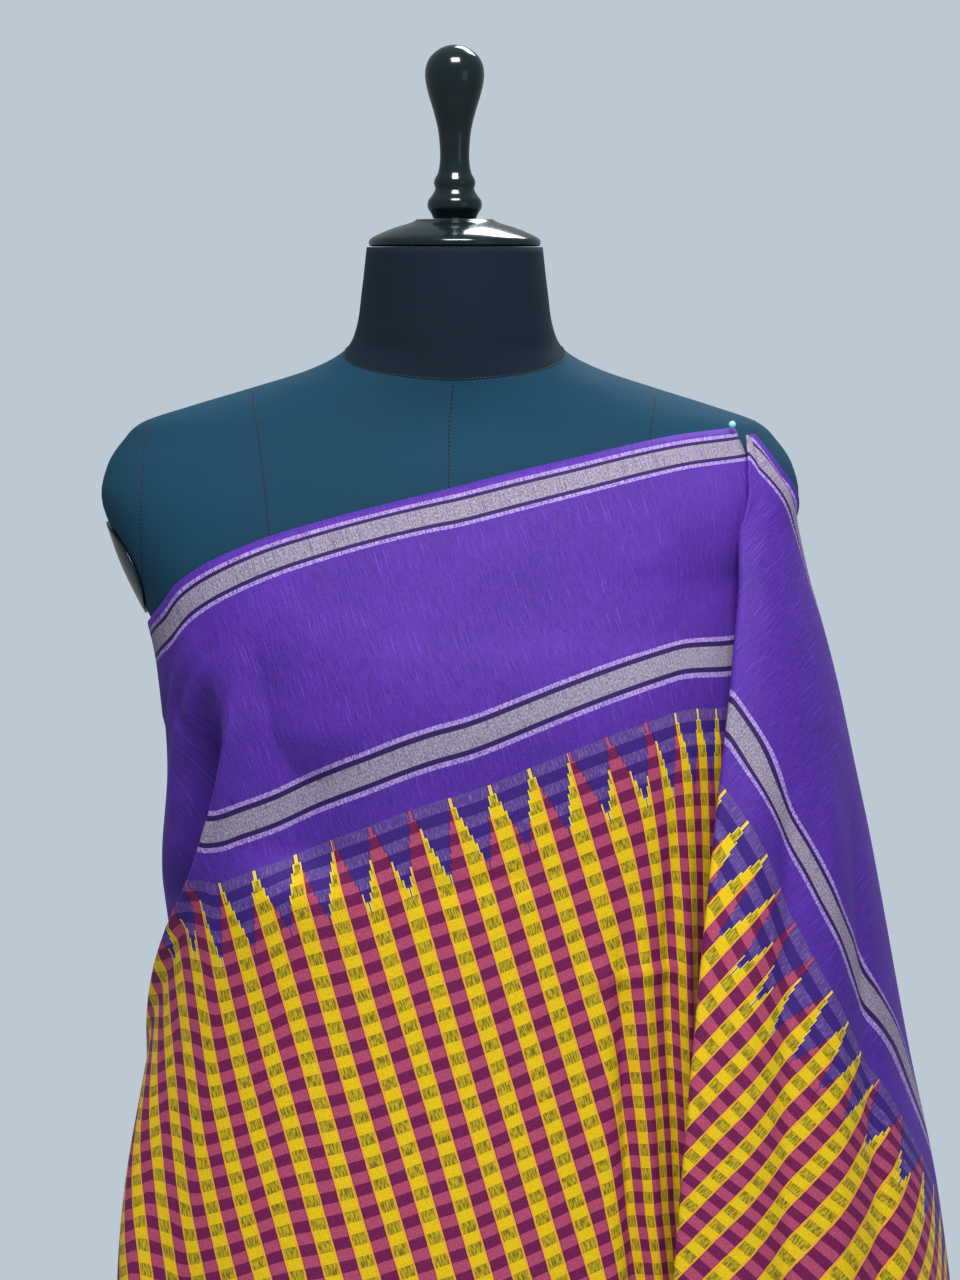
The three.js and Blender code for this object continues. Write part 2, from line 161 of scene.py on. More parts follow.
def bump(tree, height, distance, strength=1.0):
    """Fine relief that only shades the surface."""
    node = tree.nodes.new("ShaderNodeBump")
    node.inputs["Strength"].default_value = strength
    node.inputs["Distance"].default_value = distance
    tree.links.new(height.socket, node.inputs["Height"])
    return node.outputs[0]


# %% New materials
def new_material(name, **settings):
    """A material with one Principled shader, whose even values are set on its own sockets."""
    material = bpy.data.materials.new(name)
    material.use_nodes = True
    shader = material.node_tree.nodes["Principled BSDF"]
    for socket, value in settings.items():
        shader.inputs[socket.replace("_", " ")].default_value = value
    return material, material.node_tree, shader


def object_place(tree):
    """Object coordinates: metres on the piece itself, so a pattern never slides over it."""
    return tree.nodes.new("ShaderNodeTexCoord").outputs["Object"]


def join_shader(tree, shader, colour, relief=None):
    tree.links.new(colour, shader.inputs["Base Color"])
    if relief:
        tree.links.new(relief, shader.inputs["Normal"])


def mottled_material(name, grain, dark, light, relief=None, **settings):
    """A finish that wanders between two close tones. grain is the noise's scale and detail, and
    relief the distance and strength of its bump."""
    material, tree, shader = new_material(name, **settings)
    spots = noise(tree, object_place(tree), *grain)
    join_shader(tree, shader, blend(tree, spots, dark, light), relief and bump(tree, spots, *relief))
    return material


# %% [markdown]
# ## The dress form's finishes
# The torso is covered in dark teal jersey, a fine knit that drinks the light and shows small
# pills and a soft sheen where it turns away. The neck above its seam is coloured darker, as
# painted shade. The cap, the finial and the arm plates are turned wood under a thick polish, so
# they are nearly black with sharp highlights.

# %% Jersey, polish and paint
NECK_SEAM = 1410.0
NECK_SEAM_TILT = 0.32
TORSO_TONES = (linear(2, 40, 60), linear(6, 56, 80))
TORSO_LOOPS = linear(20, 78, 102)
# Painted shade: the neck's colours are darker than the torso's.
NECK_PAINTED_SHADE = linear(1, 18, 32)
NECK_SHADED_LOOPS = linear(8, 40, 56)
LOOPS_SHOW = 0.3


def jersey_material():
    material, tree, shader = new_material(
        "form_jersey", Roughness=0.85, Sheen_Weight=0.06, Sheen_Roughness=0.5,
        Sheen_Tint=linear(60, 140, 170), Specular_IOR_Level=0.25,
    )
    place = object_place(tree)
    split = tree.nodes.new("ShaderNodeSeparateXYZ")
    tree.links.new(place, split.inputs[0])
    depth, height = Field(tree, split.outputs[1]), Field(tree, split.outputs[2])
    # Painted shade: the neck above its tilted seam line takes the darker colours.
    neck_shade_mask = (height - depth.least(0.0) * NECK_SEAM_TILT).above(NECK_SEAM * MM)
    cloud = noise(tree, place, 9.0, 3.0)
    knit = noise(tree, place, 1400.0, 1.0)
    shade = blend(tree, neck_shade_mask, blend(tree, cloud, *TORSO_TONES), NECK_PAINTED_SHADE)
    loops = blend(tree, neck_shade_mask, TORSO_LOOPS, NECK_SHADED_LOOPS)
    colour = blend(tree, knit * LOOPS_SHOW, shade, loops)
    join_shader(tree, shader, colour, bump(tree, knit, 0.0004, 0.5))
    return material


JERSEY = jersey_material()
POLISH = mottled_material(
    "form_polish", (60.0, 4.0), linear(6, 16, 19), linear(16, 34, 39),
    Roughness=0.16, Coat_Weight=0.25, Coat_Roughness=0.05, Specular_IOR_Level=0.4,
)
PAINT = mottled_material(
    "stand_paint", (420.0, 2.0), linear(24, 27, 30), linear(38, 42, 46), relief=(0.0003, 0.4),
    Roughness=0.38, Metallic=0.5,
)
print("form materials", [m.name for m in (JERSEY, POLISH, PAINT)])

# %% [markdown]
# ## The saree's weave
# Across the cloth, from either selvedge, come a narrow silver border, plain purple, a wider
# silver border, plain purple again, and then the temple line, where stepped spikes of the body
# reach into the border. The body is a check: yellow and magenta columns, crossed by rows that
# are light and dark by turns. In a dark row the yellow shows the weft's dark threads as dashes.
# One material draws all of it from the cloth's own coordinates, so it bends with the drape. The
# free end closes with a plain purple border and one silver band.

# %% Sizes of the weave, in millimetres
CLOTH_WIDTH = 1130.0
SILVER_BANDS = ((9.0, 20.0), (147.2, 160.0))
SILVER_LINES = ((4.4, 6.8), (22.4, 24.8), (141.2, 144.0), (163.0, 166.0))
DARK_LINES = ((6.8, 9.0), (20.0, 22.4), (144.0, 147.2), (160.0, 163.0))
TEMPLE_TIP = 184.0
TEMPLE_DEPTH = 48.5
TEMPLE_STEP = 6.2
TEMPLE_PERIOD = 25.3
ROW = 6.95
COLUMN_PERIOD = TEMPLE_PERIOD * 6 / 7
YELLOW_SHARE = 0.51

PURPLE = linear(82, 39, 160)
PURPLE_DEEP = linear(56, 24, 118)
PURPLE_FLECK = linear(124, 82, 206)
PURPLE_SHADE = linear(40, 16, 92)
PURPLE_BLOOM = linear(104, 56, 196)
PURPLE_KNOT = linear(44, 20, 100)
DARK_THREAD = linear(28, 12, 72)
SILVER = linear(166, 158, 170)
SILVER_SHADE = linear(112, 98, 136)
SILVER_BRIGHT = linear(182, 158, 212)
SILVER_THIN = linear(92, 74, 128)
SILVER_GAP = linear(78, 62, 108)
SILVER_EDGE = linear(104, 70, 168)
YELLOW = linear(232, 198, 4)
YELLOW_WARM = linear(222, 176, 4)
OLIVE = linear(196, 172, 14)
OLIVE_DARK = linear(92, 76, 14)
PEACH = linear(240, 166, 44)
CREAM = linear(232, 210, 110)
PINK = linear(162, 60, 96)
PINK_LIGHT = linear(184, 78, 112)
MAGENTA = linear(124, 20, 84)
MAGENTA_DARK = linear(94, 12, 66)
GREY_PURPLE = linear(82, 54, 138)
GREY_TICK = linear(128, 104, 152)
INDIGO = linear(50, 24, 118)
CHECK_LINE = linear(66, 8, 44)
SPIKE_LINE = linear(26, 10, 62)
print("check", round(COLUMN_PERIOD, 1), "x", 2 * ROW, "mm, temple spikes every", TEMPLE_PERIOD, "mm")


# %% How a woven pattern is written
def any_band(field, bands):
    """1 inside any of the bands, and 0 outside."""
    total = field.between(*bands[0])
    for low, high in bands[1:]:
        total = total + field.between(low, high)
    return total


def ramp(field, low, high):
    """0 below low and 1 above high, straight between."""
    return ((field - low) / (high - low)).least(1.0).most(0.0)


def layered(tree, colour, layers):
    """A colour with others laid over it in turn, each given as (share, colour)."""
    for share, over in layers:
        colour = blend(tree, share, colour, over)
    return colour


# %% [markdown]
# ### Uneven threads
# Hand-spun thread is thick and thin by turns. Each field below is noise that is stretched along
# or across the cloth, as a thread is, and the colours and the relief are mixed from them. Each
# row has a lump's size along and across the cloth in millimetres, a seed and the detail.

# %% Threads
THREADS = {
    "fine": (0.9, 1.6, 0.0, 2.0),
    "weft": (0.8, 9.0, 0.0, 3.0),
    "slub": (0.9, 26.0, 7.0, 2.0),
    "knot": (2.2, 3.4, 3.0, 1.0),
    "cloud": (70.0, 50.0, 0.0, 2.0),
    "stroke": (0.8, 5.0, 11.0, 1.0),
    "waver": (14.0, 5.0, 0.0, 1.0),
}
WAVER = 1.6


def hand_spun(tree, along, across):
    """All the random fields of the threads. waver is in millimetres, to either side of none."""
    spun = SimpleNamespace()
    for name, (length, width, seed, detail) in THREADS.items():
        place = combine(tree, along / length, across / width, seed)
        setattr(spun, name, noise(tree, place, 1.0, detail))
    spun.waver = (spun.waver - 0.5) * WAVER
    return spun


def purple_cloth(tree, spun):
    ground = blend(tree, ramp(spun.weft * 0.6 + spun.fine * 0.4, 0.36, 0.62), PURPLE_DEEP, PURPLE)
    return layered(tree, ground, [
        (ramp(spun.slub, 0.6, 0.78) * 0.55, PURPLE_FLECK),
        (ramp(spun.slub, 0.42, 0.26) * 0.5, PURPLE_SHADE),
        (ramp(spun.cloud, 0.35, 0.75) * 0.22, PURPLE_BLOOM),
        (ramp(spun.knot, 0.74, 0.8) * 0.6, PURPLE_KNOT),
    ])


def silver_cloth(tree, spun):
    """The silver of a broad band, and the brighter silver of the lines beside it."""
    band = layered(tree, blend(tree, ramp(spun.fine, 0.34, 0.66), SILVER_SHADE, SILVER), [
        (ramp(spun.weft, 0.56, 0.72) * 0.6, SILVER_THIN),
        (ramp(spun.slub, 0.56, 0.68) * 0.6, SILVER_GAP),
    ])
    line = ramp(spun.fine * 0.6 + spun.weft * 0.4, 0.4, 0.6)
    return band, blend(tree, line, SILVER_EDGE, SILVER_BRIGHT)


# %% [markdown]
# ### The check, the spikes and the borders
# Each part of the pattern takes the places it needs and gives back a colour. column and row go
# from 0 to 1 over one repeat of the check. The spikes are steps, because a weaver can only change
# a whole thread at a time.

# %% Parts of the pattern
def check_cloth(tree, spun, column, row, light_row):
    dashes = (ramp(spun.stroke, 0.42, 0.6) * 0.8).most(row.between(0.485, 0.515) * 0.6)
    olive = blend(tree, dashes, OLIVE, OLIVE_DARK)
    bright = blend(tree, ramp(spun.fine, 0.45, 0.7), YELLOW, YELLOW_WARM)
    bright = blend(tree, ramp(spun.stroke, 0.66, 0.76) * 0.3, bright, OLIVE_DARK)
    shine = ramp(spun.fine, 0.35, 0.65)
    pink = blend(tree, shine, PINK, PINK_LIGHT)
    magenta = blend(tree, shine, MAGENTA_DARK, MAGENTA)
    yellow_column = blend(tree, light_row, olive, bright)
    magenta_column = blend(tree, light_row, magenta, pink)
    body = blend(tree, column.below(YELLOW_SHARE), magenta_column, yellow_column)
    outline = column.between(YELLOW_SHARE, YELLOW_SHARE + 0.03) + column.above(0.97)
    peach = column.between(0.0, 0.055) + column.between(YELLOW_SHARE - 0.055, YELLOW_SHARE)
    return layered(tree, body, [(outline * 0.45, CHECK_LINE), (peach * 0.85, PEACH)])


def with_spikes(tree, spun, along, edge, ground, body, yellow):
    """The ground with the body's stepped spikes in it, each with a pale and a dark rim."""
    reach = edge - TEMPLE_TIP
    step = ((reach + spun.waver * 2.4) / TEMPLE_STEP).floor() + 0.62
    depth = step * (TEMPLE_STEP / TEMPLE_DEPTH)
    spike = (((along / TEMPLE_PERIOD + 0.5).fraction() - 0.5) * 2.0).size()
    inside = spike.below(depth) * reach.above(0.0)
    rim = spike.above(depth - 0.06) * inside * reach.below(TEMPLE_DEPTH)
    outer = spike.between(depth, depth + 0.05) * reach.between(0.0, TEMPLE_DEPTH)
    return layered(tree, ground, [
        (inside, body), (rim * yellow * 0.8, CREAM), (outer * 0.6, SPIKE_LINE),
    ])


def with_borders(tree, cloth, edge, count, silver, silver_line):
    """The cloth with its first silver bands, counted from an edge, and the lines beside them."""
    return layered(tree, cloth, [
        (any_band(edge, SILVER_BANDS[:count]), silver),
        (any_band(edge, DARK_LINES[:2 * count]) * 0.9, DARK_THREAD),
        (any_band(edge, SILVER_LINES[:2 * count]), silver_line),
    ])


# %% The weave's material
def weave_material(name, first_tip, end_band=None):
    """The saree's weave. first_tip is where along the cloth a run of yellow spikes begins, and
    end_band is where the plain border across the end begins."""
    material, tree, shader = new_material(
        name, Roughness=0.7, Sheen_Weight=0.05, Sheen_Roughness=0.4,
        Sheen_Tint=linear(170, 140, 230), Specular_IOR_Level=0.3,
    )
    uv = tree.nodes.new("ShaderNodeUVMap")
    uv.uv_map = "cloth"
    split = tree.nodes.new("ShaderNodeSeparateXYZ")
    tree.links.new(uv.outputs[0], split.inputs[0])
    along = Field(tree, split.outputs[0]) * 1000.0 - first_tip
    across = Field(tree, split.outputs[1]) * 1000.0
    edge = across.least(across * -1.0 + CLOTH_WIDTH)
    spun = hand_spun(tree, along, across)
    purple = purple_cloth(tree, spun)
    silver = silver_cloth(tree, spun)

    row = ((edge - TEMPLE_TIP) / (2 * ROW)).fraction()
    light_row = row.below(0.5)
    column = ((along + spun.waver * 0.3) / COLUMN_PERIOD + 0.04).fraction()
    body = check_cloth(tree, spun, column, row, light_row)
    grey = blend(tree, ramp(spun.stroke, 0.5, 0.62) * 0.6, GREY_PURPLE, GREY_TICK)
    dark = blend(tree, ramp(spun.weft, 0.4, 0.6), INDIGO, PURPLE_DEEP)
    ground = blend(tree, edge.above(TEMPLE_TIP), purple, blend(tree, light_row, dark, grey))
    cloth = with_spikes(tree, spun, along, edge, ground, body, column.below(YELLOW_SHARE))
    cloth = with_borders(tree, cloth, edge, 2, *silver)
    if end_band:
        beyond = along + (first_tip - end_band)
        cloth = blend(tree, beyond.above(0.0), cloth, purple)
        cloth = with_borders(tree, cloth, beyond, 1, *silver)
    relief = spun.weft * 0.9 + spun.fine * 0.7 + spun.slub * 0.6 + spun.knot * 0.3
    join_shader(tree, shader, cloth, bump(tree, relief, 0.0007, 0.5))
    return material


WEAVE = weave_material("saree_weave", -56.0)
WEAVE_END = weave_material("saree_weave_end", 155.0, end_band=660.0)
print("weave nodes", len(WEAVE.node_tree.nodes))

# %% [markdown]
# ## Reading short tables
# Every soft outline here comes from a short table: a few heights, and the sizes at each. A
# smooth curve joins the rows, so a dozen numbers give a surface with no corners. The same
# tables make the CAD model, in millimetres, which is why the two fit each other.

# %% Smooth tables and rounded sections
def smooth_table(columns, rows):
    """A function that reads a column at any key, with smooth curves between the rows."""
    data = np.array(rows, float)
    key = data[:, 0]
    before = np.vstack([data[:1], data[:-1]])
    after = np.vstack([data[1:], data[-1:]])
    slope = (after - before) / (after[:, :1] - before[:, :1])

    def read(name, place):
        k = columns.index(name)
        place = np.clip(np.asarray(place, float), key[0], key[-1])
        i = np.clip(np.searchsorted(key, place, side="left") - 1, 0, len(key) - 2)
        span = key[i + 1] - key[i]
        t = (place - key[i]) / span
        start = (2 * t**3 - 3 * t**2 + 1) * data[i, k] + (t**3 - 2 * t**2 + t) * span * slope[i, k]
        end = (3 * t**2 - 2 * t**3) * data[i + 1, k] + (t**3 - t**2) * span * slope[i + 1, k]
        return start + end

    return read


def ease(t):
    t = np.clip(t, 0.0, 1.0)
    return t * t * (3 - 2 * t)


def mix(a, b, t):
    return a + (b - a) * t


def swell(shift, **places):
    """A shift's amount, by, which grows in smoothly over each place's start and reach."""
    amount = shift["by"]
    for name, place in places.items():
        start, reach = shift[name]
        amount = amount * ease((place - start) / reach)
    return amount


def bell(away, width):
    """1 on a fold's line, falling smoothly to almost nothing at twice its half width."""
    return np.exp(-((away / width) ** 2))


def section_point(centre, side, depth, power, angle, z):
    """Points of a rounded section, at angles in degrees round it."""
    c, s = np.cos(np.radians(angle)), np.sin(np.radians(angle))
    x = centre + side * np.sign(c) * np.abs(c) ** (2 / power)
    y = depth * np.sign(s) * np.abs(s) ** (2 / power)
    return np.stack(np.broadcast_arrays(x, y, z), axis=-1)


# %% The form's level sections
FORM_BOTTOM = 800.0
NECK_TOP = 1471.0
FORM = smooth_table(["z", "centre", "side", "front", "back", "power"], [
    [800, 0, 152, 96, 104, 2.3],
    [850, 0, 166, 102, 117, 2.3],
    [905, 0, 164, 100, 116, 2.3],
    [970, 0, 141, 89, 99, 2.3],
    [1030, 0, 120, 80, 84, 2.3],
    [1085, 0, 127, 92, 87, 2.4],
    [1135, 0, 140, 116, 93, 2.5],
    [1180, -1, 152, 127, 98, 2.6],
    [1212, -2, 162, 121, 101, 2.6],
    [1240, -3, 182, 112, 102, 2.5],
    [1265, -3, 194, 103, 101, 2.4],
    [1290, -3, 205, 94, 99, 2.3],
    [1317, -3, 215, 83, 93, 2.1],
    [1338, -3, 211, 73, 84, 1.9],
    [1352, -3, 202, 66, 76, 1.7],
    [1364, -3, 189, 61, 71, 1.55],
    [1374, -2, 160, 58.5, 68, 1.5],
    [1385, -1, 124, 57, 66, 1.5],
    [1396, 0, 90, 56.5, 63, 1.6],
    [1407, 0, 69, 56, 60, 1.8],
    [1420, 0, 61, 55.5, 58, 2],
    [1445, 0, 57, 55, 56, 2],
    [1471, 0, 54, 54, 54, 2],
])
print("form", round(2 * float(FORM("side", 1317))), "mm over the arm caps")


def form_point(angle, z, offset=0.0):
    """A point on the dress form's skin, or offset millimetres level out from it."""
    angle = np.asarray(angle, float) % 360
    side = FORM("side", z) + offset
    depth = np.where(angle > 180, FORM("front", z), FORM("back", z)) + offset
    return section_point(FORM("centre", z), side, depth, FORM("power", z), angle, z)


# %% [markdown]
# ## From grids of points to meshes
# A sheet of cloth is a grid. Each column keeps its place along the cloth and each row its place
# across, and both go into a UV map, in metres, for the weave to read. Solidify then gives the
# sheet the thickness of real cloth.

# %% Mesh builders
def finish_piece(obj, material, node):
    """Links a new piece, gives it its finish, and lets it stand for its CAD node."""
    if obj.name not in bpy.context.scene.collection.objects:
        bpy.context.scene.collection.objects.link(obj)
    obj.data.materials.clear()
    obj.data.materials.append(material)
    obj.data.polygons.foreach_set("use_smooth", [True] * len(obj.data.polygons))
    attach(obj, "root")
    if node:
        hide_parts(node)
    return obj


def grid_faces(rows, columns, wrap=False, flip=False):
    """Corner numbers of the quads of a grid with so many rows and columns of points."""
    quads_round = columns if wrap else columns - 1
    j, i = np.meshgrid(np.arange(rows - 1), np.arange(quads_round), indexing="ij")
    a = j * columns + i
    b = j * columns + (i + 1) % columns
    quads = np.stack([a, b, b + columns, a + columns], axis=-1).reshape(-1, 4)
    return quads[:, ::-1] if flip else quads


def grid_object(name, points, wrap=False, flip=False, uv=None, caps=False):
    """A mesh from points[row, column] in millimetres. caps closes both ends with a fan."""
    rows, columns = points.shape[:2]
    verts = points.reshape(-1, 3) * MM
    faces = grid_faces(rows, columns, wrap, flip).tolist()
    if caps:
        ends = []
        for row, turned_over in ((0, True), (rows - 1, False)):
            ring = [row * columns + i for i in range(columns)]
            if turned_over != flip:
                ring.reverse()
            middle = len(verts) + len(ends)
            ends.append(points[row].mean(axis=0) * MM)
            faces += [[ring[i], ring[(i + 1) % columns], middle] for i in range(columns)]
        verts = np.vstack([verts, ends])
    mesh = bpy.data.meshes.new(name)
    mesh.from_pydata(verts.tolist(), [], faces)
    mesh.update()
    if uv is not None:
        layer = mesh.uv_layers.new(name="cloth")
        corner = np.empty(len(mesh.loops), dtype=np.int32)
        mesh.loops.foreach_get("vertex_index", corner)
        layer.uv.foreach_set("vector", (uv.reshape(-1, 2)[corner] * MM).astype(np.float32).ravel())
    return bpy.data.objects.new(name, mesh)


# %% Turned pieces from a profile
def turned(name, profile, sides):
    """A turned piece from a list of (radius, height) in millimetres, closed on the axis."""
    profile = np.array(profile, float)
    turn = np.arange(sides) * 2 * math.pi / sides
    radius, height = profile[:, :1], profile[:, 1:]
    points = np.stack([
        radius * np.cos(turn), radius * np.sin(turn), np.broadcast_to(height, (len(profile), sides)),
    ], axis=-1)
    return grid_object(name, points, wrap=True, caps=True)


# %% [markdown]
# ## The dress form
# The torso and neck are one padded body under one jersey cover. Closely spaced level sections
# from the table above give its shoulders, the rounded arm caps and the cone of the neck.

# %% Torso and neck
levels = np.concatenate([
    np.linspace(FORM_BOTTOM, 1330, 90), np.linspace(1333, 1420, 60), np.linspace(1424, NECK_TOP, 14),
])
angles = np.arange(200) * 360 / 200
torso = grid_object("form_torso", form_point(angles[None, :], levels[:, None]), wrap=True, caps=True)
finish_piece(torso, JERSEY, "form_body")
print("torso", len(torso.data.polygons), "faces")

# %% [markdown]
# ## Stitches
# A seam or a hem is a row of small stitches along a line. Geometry Nodes suits that: the tree
# resamples a line at an even spacing, lays one small bead along it at each point, and turns it
# to follow the line. The lines themselves are written as points on the surface they are sewn to.

# %% Stitches along a line, with Geometry Nodes
STITCH_INPUTS = [
    ("Spacing", "NodeSocketFloat"), ("Length", "NodeSocketFloat"), ("Thickness", "NodeSocketFloat"),
    ("Unevenness", "NodeSocketFloat"), ("Seed", "NodeSocketInt"), ("Thread", "NodeSocketMaterial"),
]


def stitch_tree():
    tree = bpy.data.node_groups.new("stitches_along_lines", "GeometryNodeTree")
    tree.interface.new_socket("Lines", in_out="INPUT", socket_type="NodeSocketGeometry")
    for name, kind in STITCH_INPUTS:
        tree.interface.new_socket(name, in_out="INPUT", socket_type=kind)
    tree.interface.new_socket("Stitches", in_out="OUTPUT", socket_type="NodeSocketGeometry")

    def add(kind, output, inputs, **settings):
        """Adds a node, sets or joins its inputs, and gives back one of its outputs."""
        node = tree.nodes.new(kind)
        for name, value in settings.items():
            setattr(node, name, value)
        for name, value in inputs.items():
            feed(tree, node.inputs[name], value)
        return node.outputs[output]

    given = tree.nodes.new("NodeGroupInput").outputs
    line = add("GeometryNodeMeshToCurve", "Curve", {"Mesh": given["Lines"]})
    even = {"Curve": line, "Length": given["Spacing"]}
    points = add("GeometryNodeResampleCurve", "Curve", even, mode="LENGTH")
    along = add("GeometryNodeInputTangent", 0, {})
    turned_to_line = add("FunctionNodeAlignRotationToVector", 0, {"Vector": along}, axis="Z")
    uneven = add("FunctionNodeRandomValue", 1, {"Seed": given["Seed"]})
    stretch = {0: uneven, 1: given["Unevenness"], 2: given["Length"]}
    length = add("ShaderNodeMath", 0, stretch, operation="MULTIPLY_ADD")
    thickness = given["Thickness"]
    size = add("ShaderNodeCombineXYZ", 0, {"X": thickness, "Y": thickness, "Z": length})
    bead = add("GeometryNodeMeshUVSphere", "Mesh", {"Segments": 6, "Rings": 4, "Radius": 0.5})
    laid = add("GeometryNodeInstanceOnPoints", "Instances", {
        "Points": points, "Instance": bead, "Rotation": turned_to_line, "Scale": size,
    })
    real = add("GeometryNodeRealizeInstances", "Geometry", {"Geometry": laid})
    dyed = {"Geometry": real, "Material": given["Thread"]}
    sewn = add("GeometryNodeSetMaterial", "Geometry", dyed)
    tree.links.new(sewn, tree.nodes.new("NodeGroupOutput").inputs["Stitches"])
    return tree


STITCHES = stitch_tree()


# %% Sewing with a thread
def thread_material(name, dark, light):
    return mottled_material(name, (2600.0, 1.0), dark, light, Roughness=0.6)


def stitched(name, paths, thread, slot, **sizes):
    """A mesh of stitches along paths given in millimetres, with sizes named as the tree's inputs."""
    starts = np.cumsum([0] + [len(path) for path in paths])
    edges = [(a + i, a + i + 1) for a, path in zip(starts, paths) for i in range(len(path) - 1)]
    lines = bpy.data.meshes.new(f"{name}_lines")
    lines.from_pydata((np.vstack(paths) * MM).tolist(), edges, [])
    source = bpy.data.objects.new(f"{name}_lines", lines)
    bpy.context.scene.collection.objects.link(source)
    sewing = source.modifiers.new("sewing", "NODES")
    sewing.node_group = STITCHES
    values = {**sizes, "Thread": thread}
    for socket in STITCHES.interface.items_tree:
        if socket.in_out == "INPUT" and socket.name in values:
            sewing[socket.identifier] = values[socket.name]
    ready = source.evaluated_get(bpy.context.evaluated_depsgraph_get())
    mesh = bpy.data.meshes.new_from_object(ready)
    source.modifiers.remove(sewing)
    bpy.data.objects.remove(source)
    mesh.name = name
    obj = finish_piece(bpy.data.objects.new(name, mesh), thread, None)
    print(name, len(mesh.polygons), "faces")
    return obj


# %% [markdown]
# ## The form's seams
# The cover is cut in panels: a seam round the neck, one down the middle of front and back, a
# curved one from each shoulder over the bust, and one round each arm. On the real form they
# read as fine dark lines, so the thread is darker than the jersey and sunk half into it.

# %% Seams of the cover
SHOULDER_SEAM = smooth_table(["z", "x"], [
    [806, 86], [905, 80], [1040, 62], [1180, 86], [1300, 110], [1325, 113], [1356, 118], [1383, 123],
])
ARM_SEAM = 187.0
FORM_MIDDLE = -2.5
SEAM_LIFT = 0.1


def skin_at(x, z, front=True):
    """The form's skin at a given place across and height, on its front or its back."""
    share = np.clip((x - FORM("centre", z)) / FORM("side", z), -1, 1)
    turn = np.degrees(np.arccos(np.sign(share) * np.abs(share) ** (FORM("power", z) / 2)))
    return form_point(-turn if front else turn, z, SEAM_LIFT)


round_neck = np.linspace(0, 360, 181)
neck_z = np.full(len(round_neck), NECK_SEAM)
for _ in range(3):
    neck_z = NECK_SEAM + NECK_SEAM_TILT * np.minimum(form_point(round_neck, neck_z)[:, 1], 0)
down = np.linspace(806, 1383, 200)
middle = np.linspace(806, 1388, 200)
arm_z = np.linspace(1254, 1364.5, 60)
sides = [(sign, front) for sign in (-1, 1) for front in (True, False)]
seams = [form_point(round_neck, neck_z, SEAM_LIFT)]
seams += [form_point(angle, z, SEAM_LIFT) for angle, z in ((270, middle), (90, middle + 20))]
seams += [skin_at(sign * SHOULDER_SEAM("x", down), down, front) for sign, front in sides]
seams += [skin_at(np.full(60, FORM_MIDDLE + sign * ARM_SEAM), arm_z, front) for sign, front in sides]
SEAM_THREAD = thread_material("seam_thread", linear(0, 14, 22), linear(4, 28, 40))
stitched("form_seams", seams, SEAM_THREAD, "form_jersey",
         Spacing=0.0026, Length=0.0026, Thickness=0.0009, Unevenness=0.0004, Seed=4)

# %% [markdown]
# ## Cap, finial, plates and stand
# These are turned pieces: a short table of radius by height is all that a turner would need.
# Smooth curves join the finial's rows, and the cap's steps stay crisp.

# %% Turned pieces
cap_bottom = NECK_TOP + 0.4
CAP_PROFILE = [
    (50, 0), (52, 0.3), (52.7, 1.2), (52.7, 3), (52.2, 4.2), (50.5, 5.6), (47, 7.4), (42, 9.6),
    (36, 11.8), (30, 13.5), (26, 14.9), (24.4, 15.8), (23.6, 16.5),
]
CAP = [(r, cap_bottom + z) for r, z in CAP_PROFILE]

finial_bottom = NECK_TOP + 17.3
FINIAL = smooth_table(["height", "radius"], [
    [0, 13], [3, 14.4], [6, 16.2], [8.5, 16.7], [11.5, 16], [15, 13.4], [18.4, 11.9], [20, 12.4],
    [22.4, 12.7], [24.6, 12], [28, 10.2], [36, 9], [46, 9.3], [55, 10.4], [66, 13.2], [76, 16.2],
    [85, 18], [92, 17.6], [97.6, 15.2], [102, 10.6], [104.6, 5.4], [105.4, 0.8],
])
heights = np.concatenate([
    np.linspace(0, 30, 40), np.linspace(31, 96, 50), np.linspace(96.6, 105.4, 26),
])
KNOB = [(FINIAL("radius", h), finial_bottom + h) for h in heights]

BASE_RADIUS, BASE_RIM = 160.0, 12.0
BASE = [
    (BASE_RADIUS - 1.5, 0), (BASE_RADIUS, 1.5), (BASE_RADIUS, BASE_RIM - 3.5),
    (BASE_RADIUS - 1.4, BASE_RIM - 1.2), (BASE_RADIUS - 4.5, BASE_RIM), (130, 15), (90, 20),
    (50, 23.4), (34, 24.4), (29, 27), (26, 33), (24, 46), (22.4, 60.6), (21.4, 61.6),
]
POST = [(13.4, 62), (14, 62.6), (14, FORM_BOTTOM - 1), (13.4, FORM_BOTTOM - 0.4)]

for name, profile, sides, finish, node, slot in [
    ("neck_cap_polished", CAP, 96, POLISH, "neck_cap", "form_gloss"),
    ("finial_polished", KNOB, 72, POLISH, "finial", "form_gloss"),
    ("round_base", BASE, 128, PAINT, "stand_base", "stand_paint"),
    ("stand_post", POST, 48, PAINT, "pole", "stand_paint"),
]:
    piece = finish_piece(turned(name, profile, sides), finish, node)
    print(name, len(piece.data.polygons), "faces")

# %% [markdown]
# ## Arm plates
# A thin domed oval closes each arm cap. It is laid out on the cap's own skin, point by point, and
# lifted along the skin's slope, so that it follows the cap with an even gap.

# %% Plates on the arm caps
PLATE = dict(z=1275.0, half_height=28.0, half_angle=19.0, gap=1.0, rim=0.8, dome=1.8)


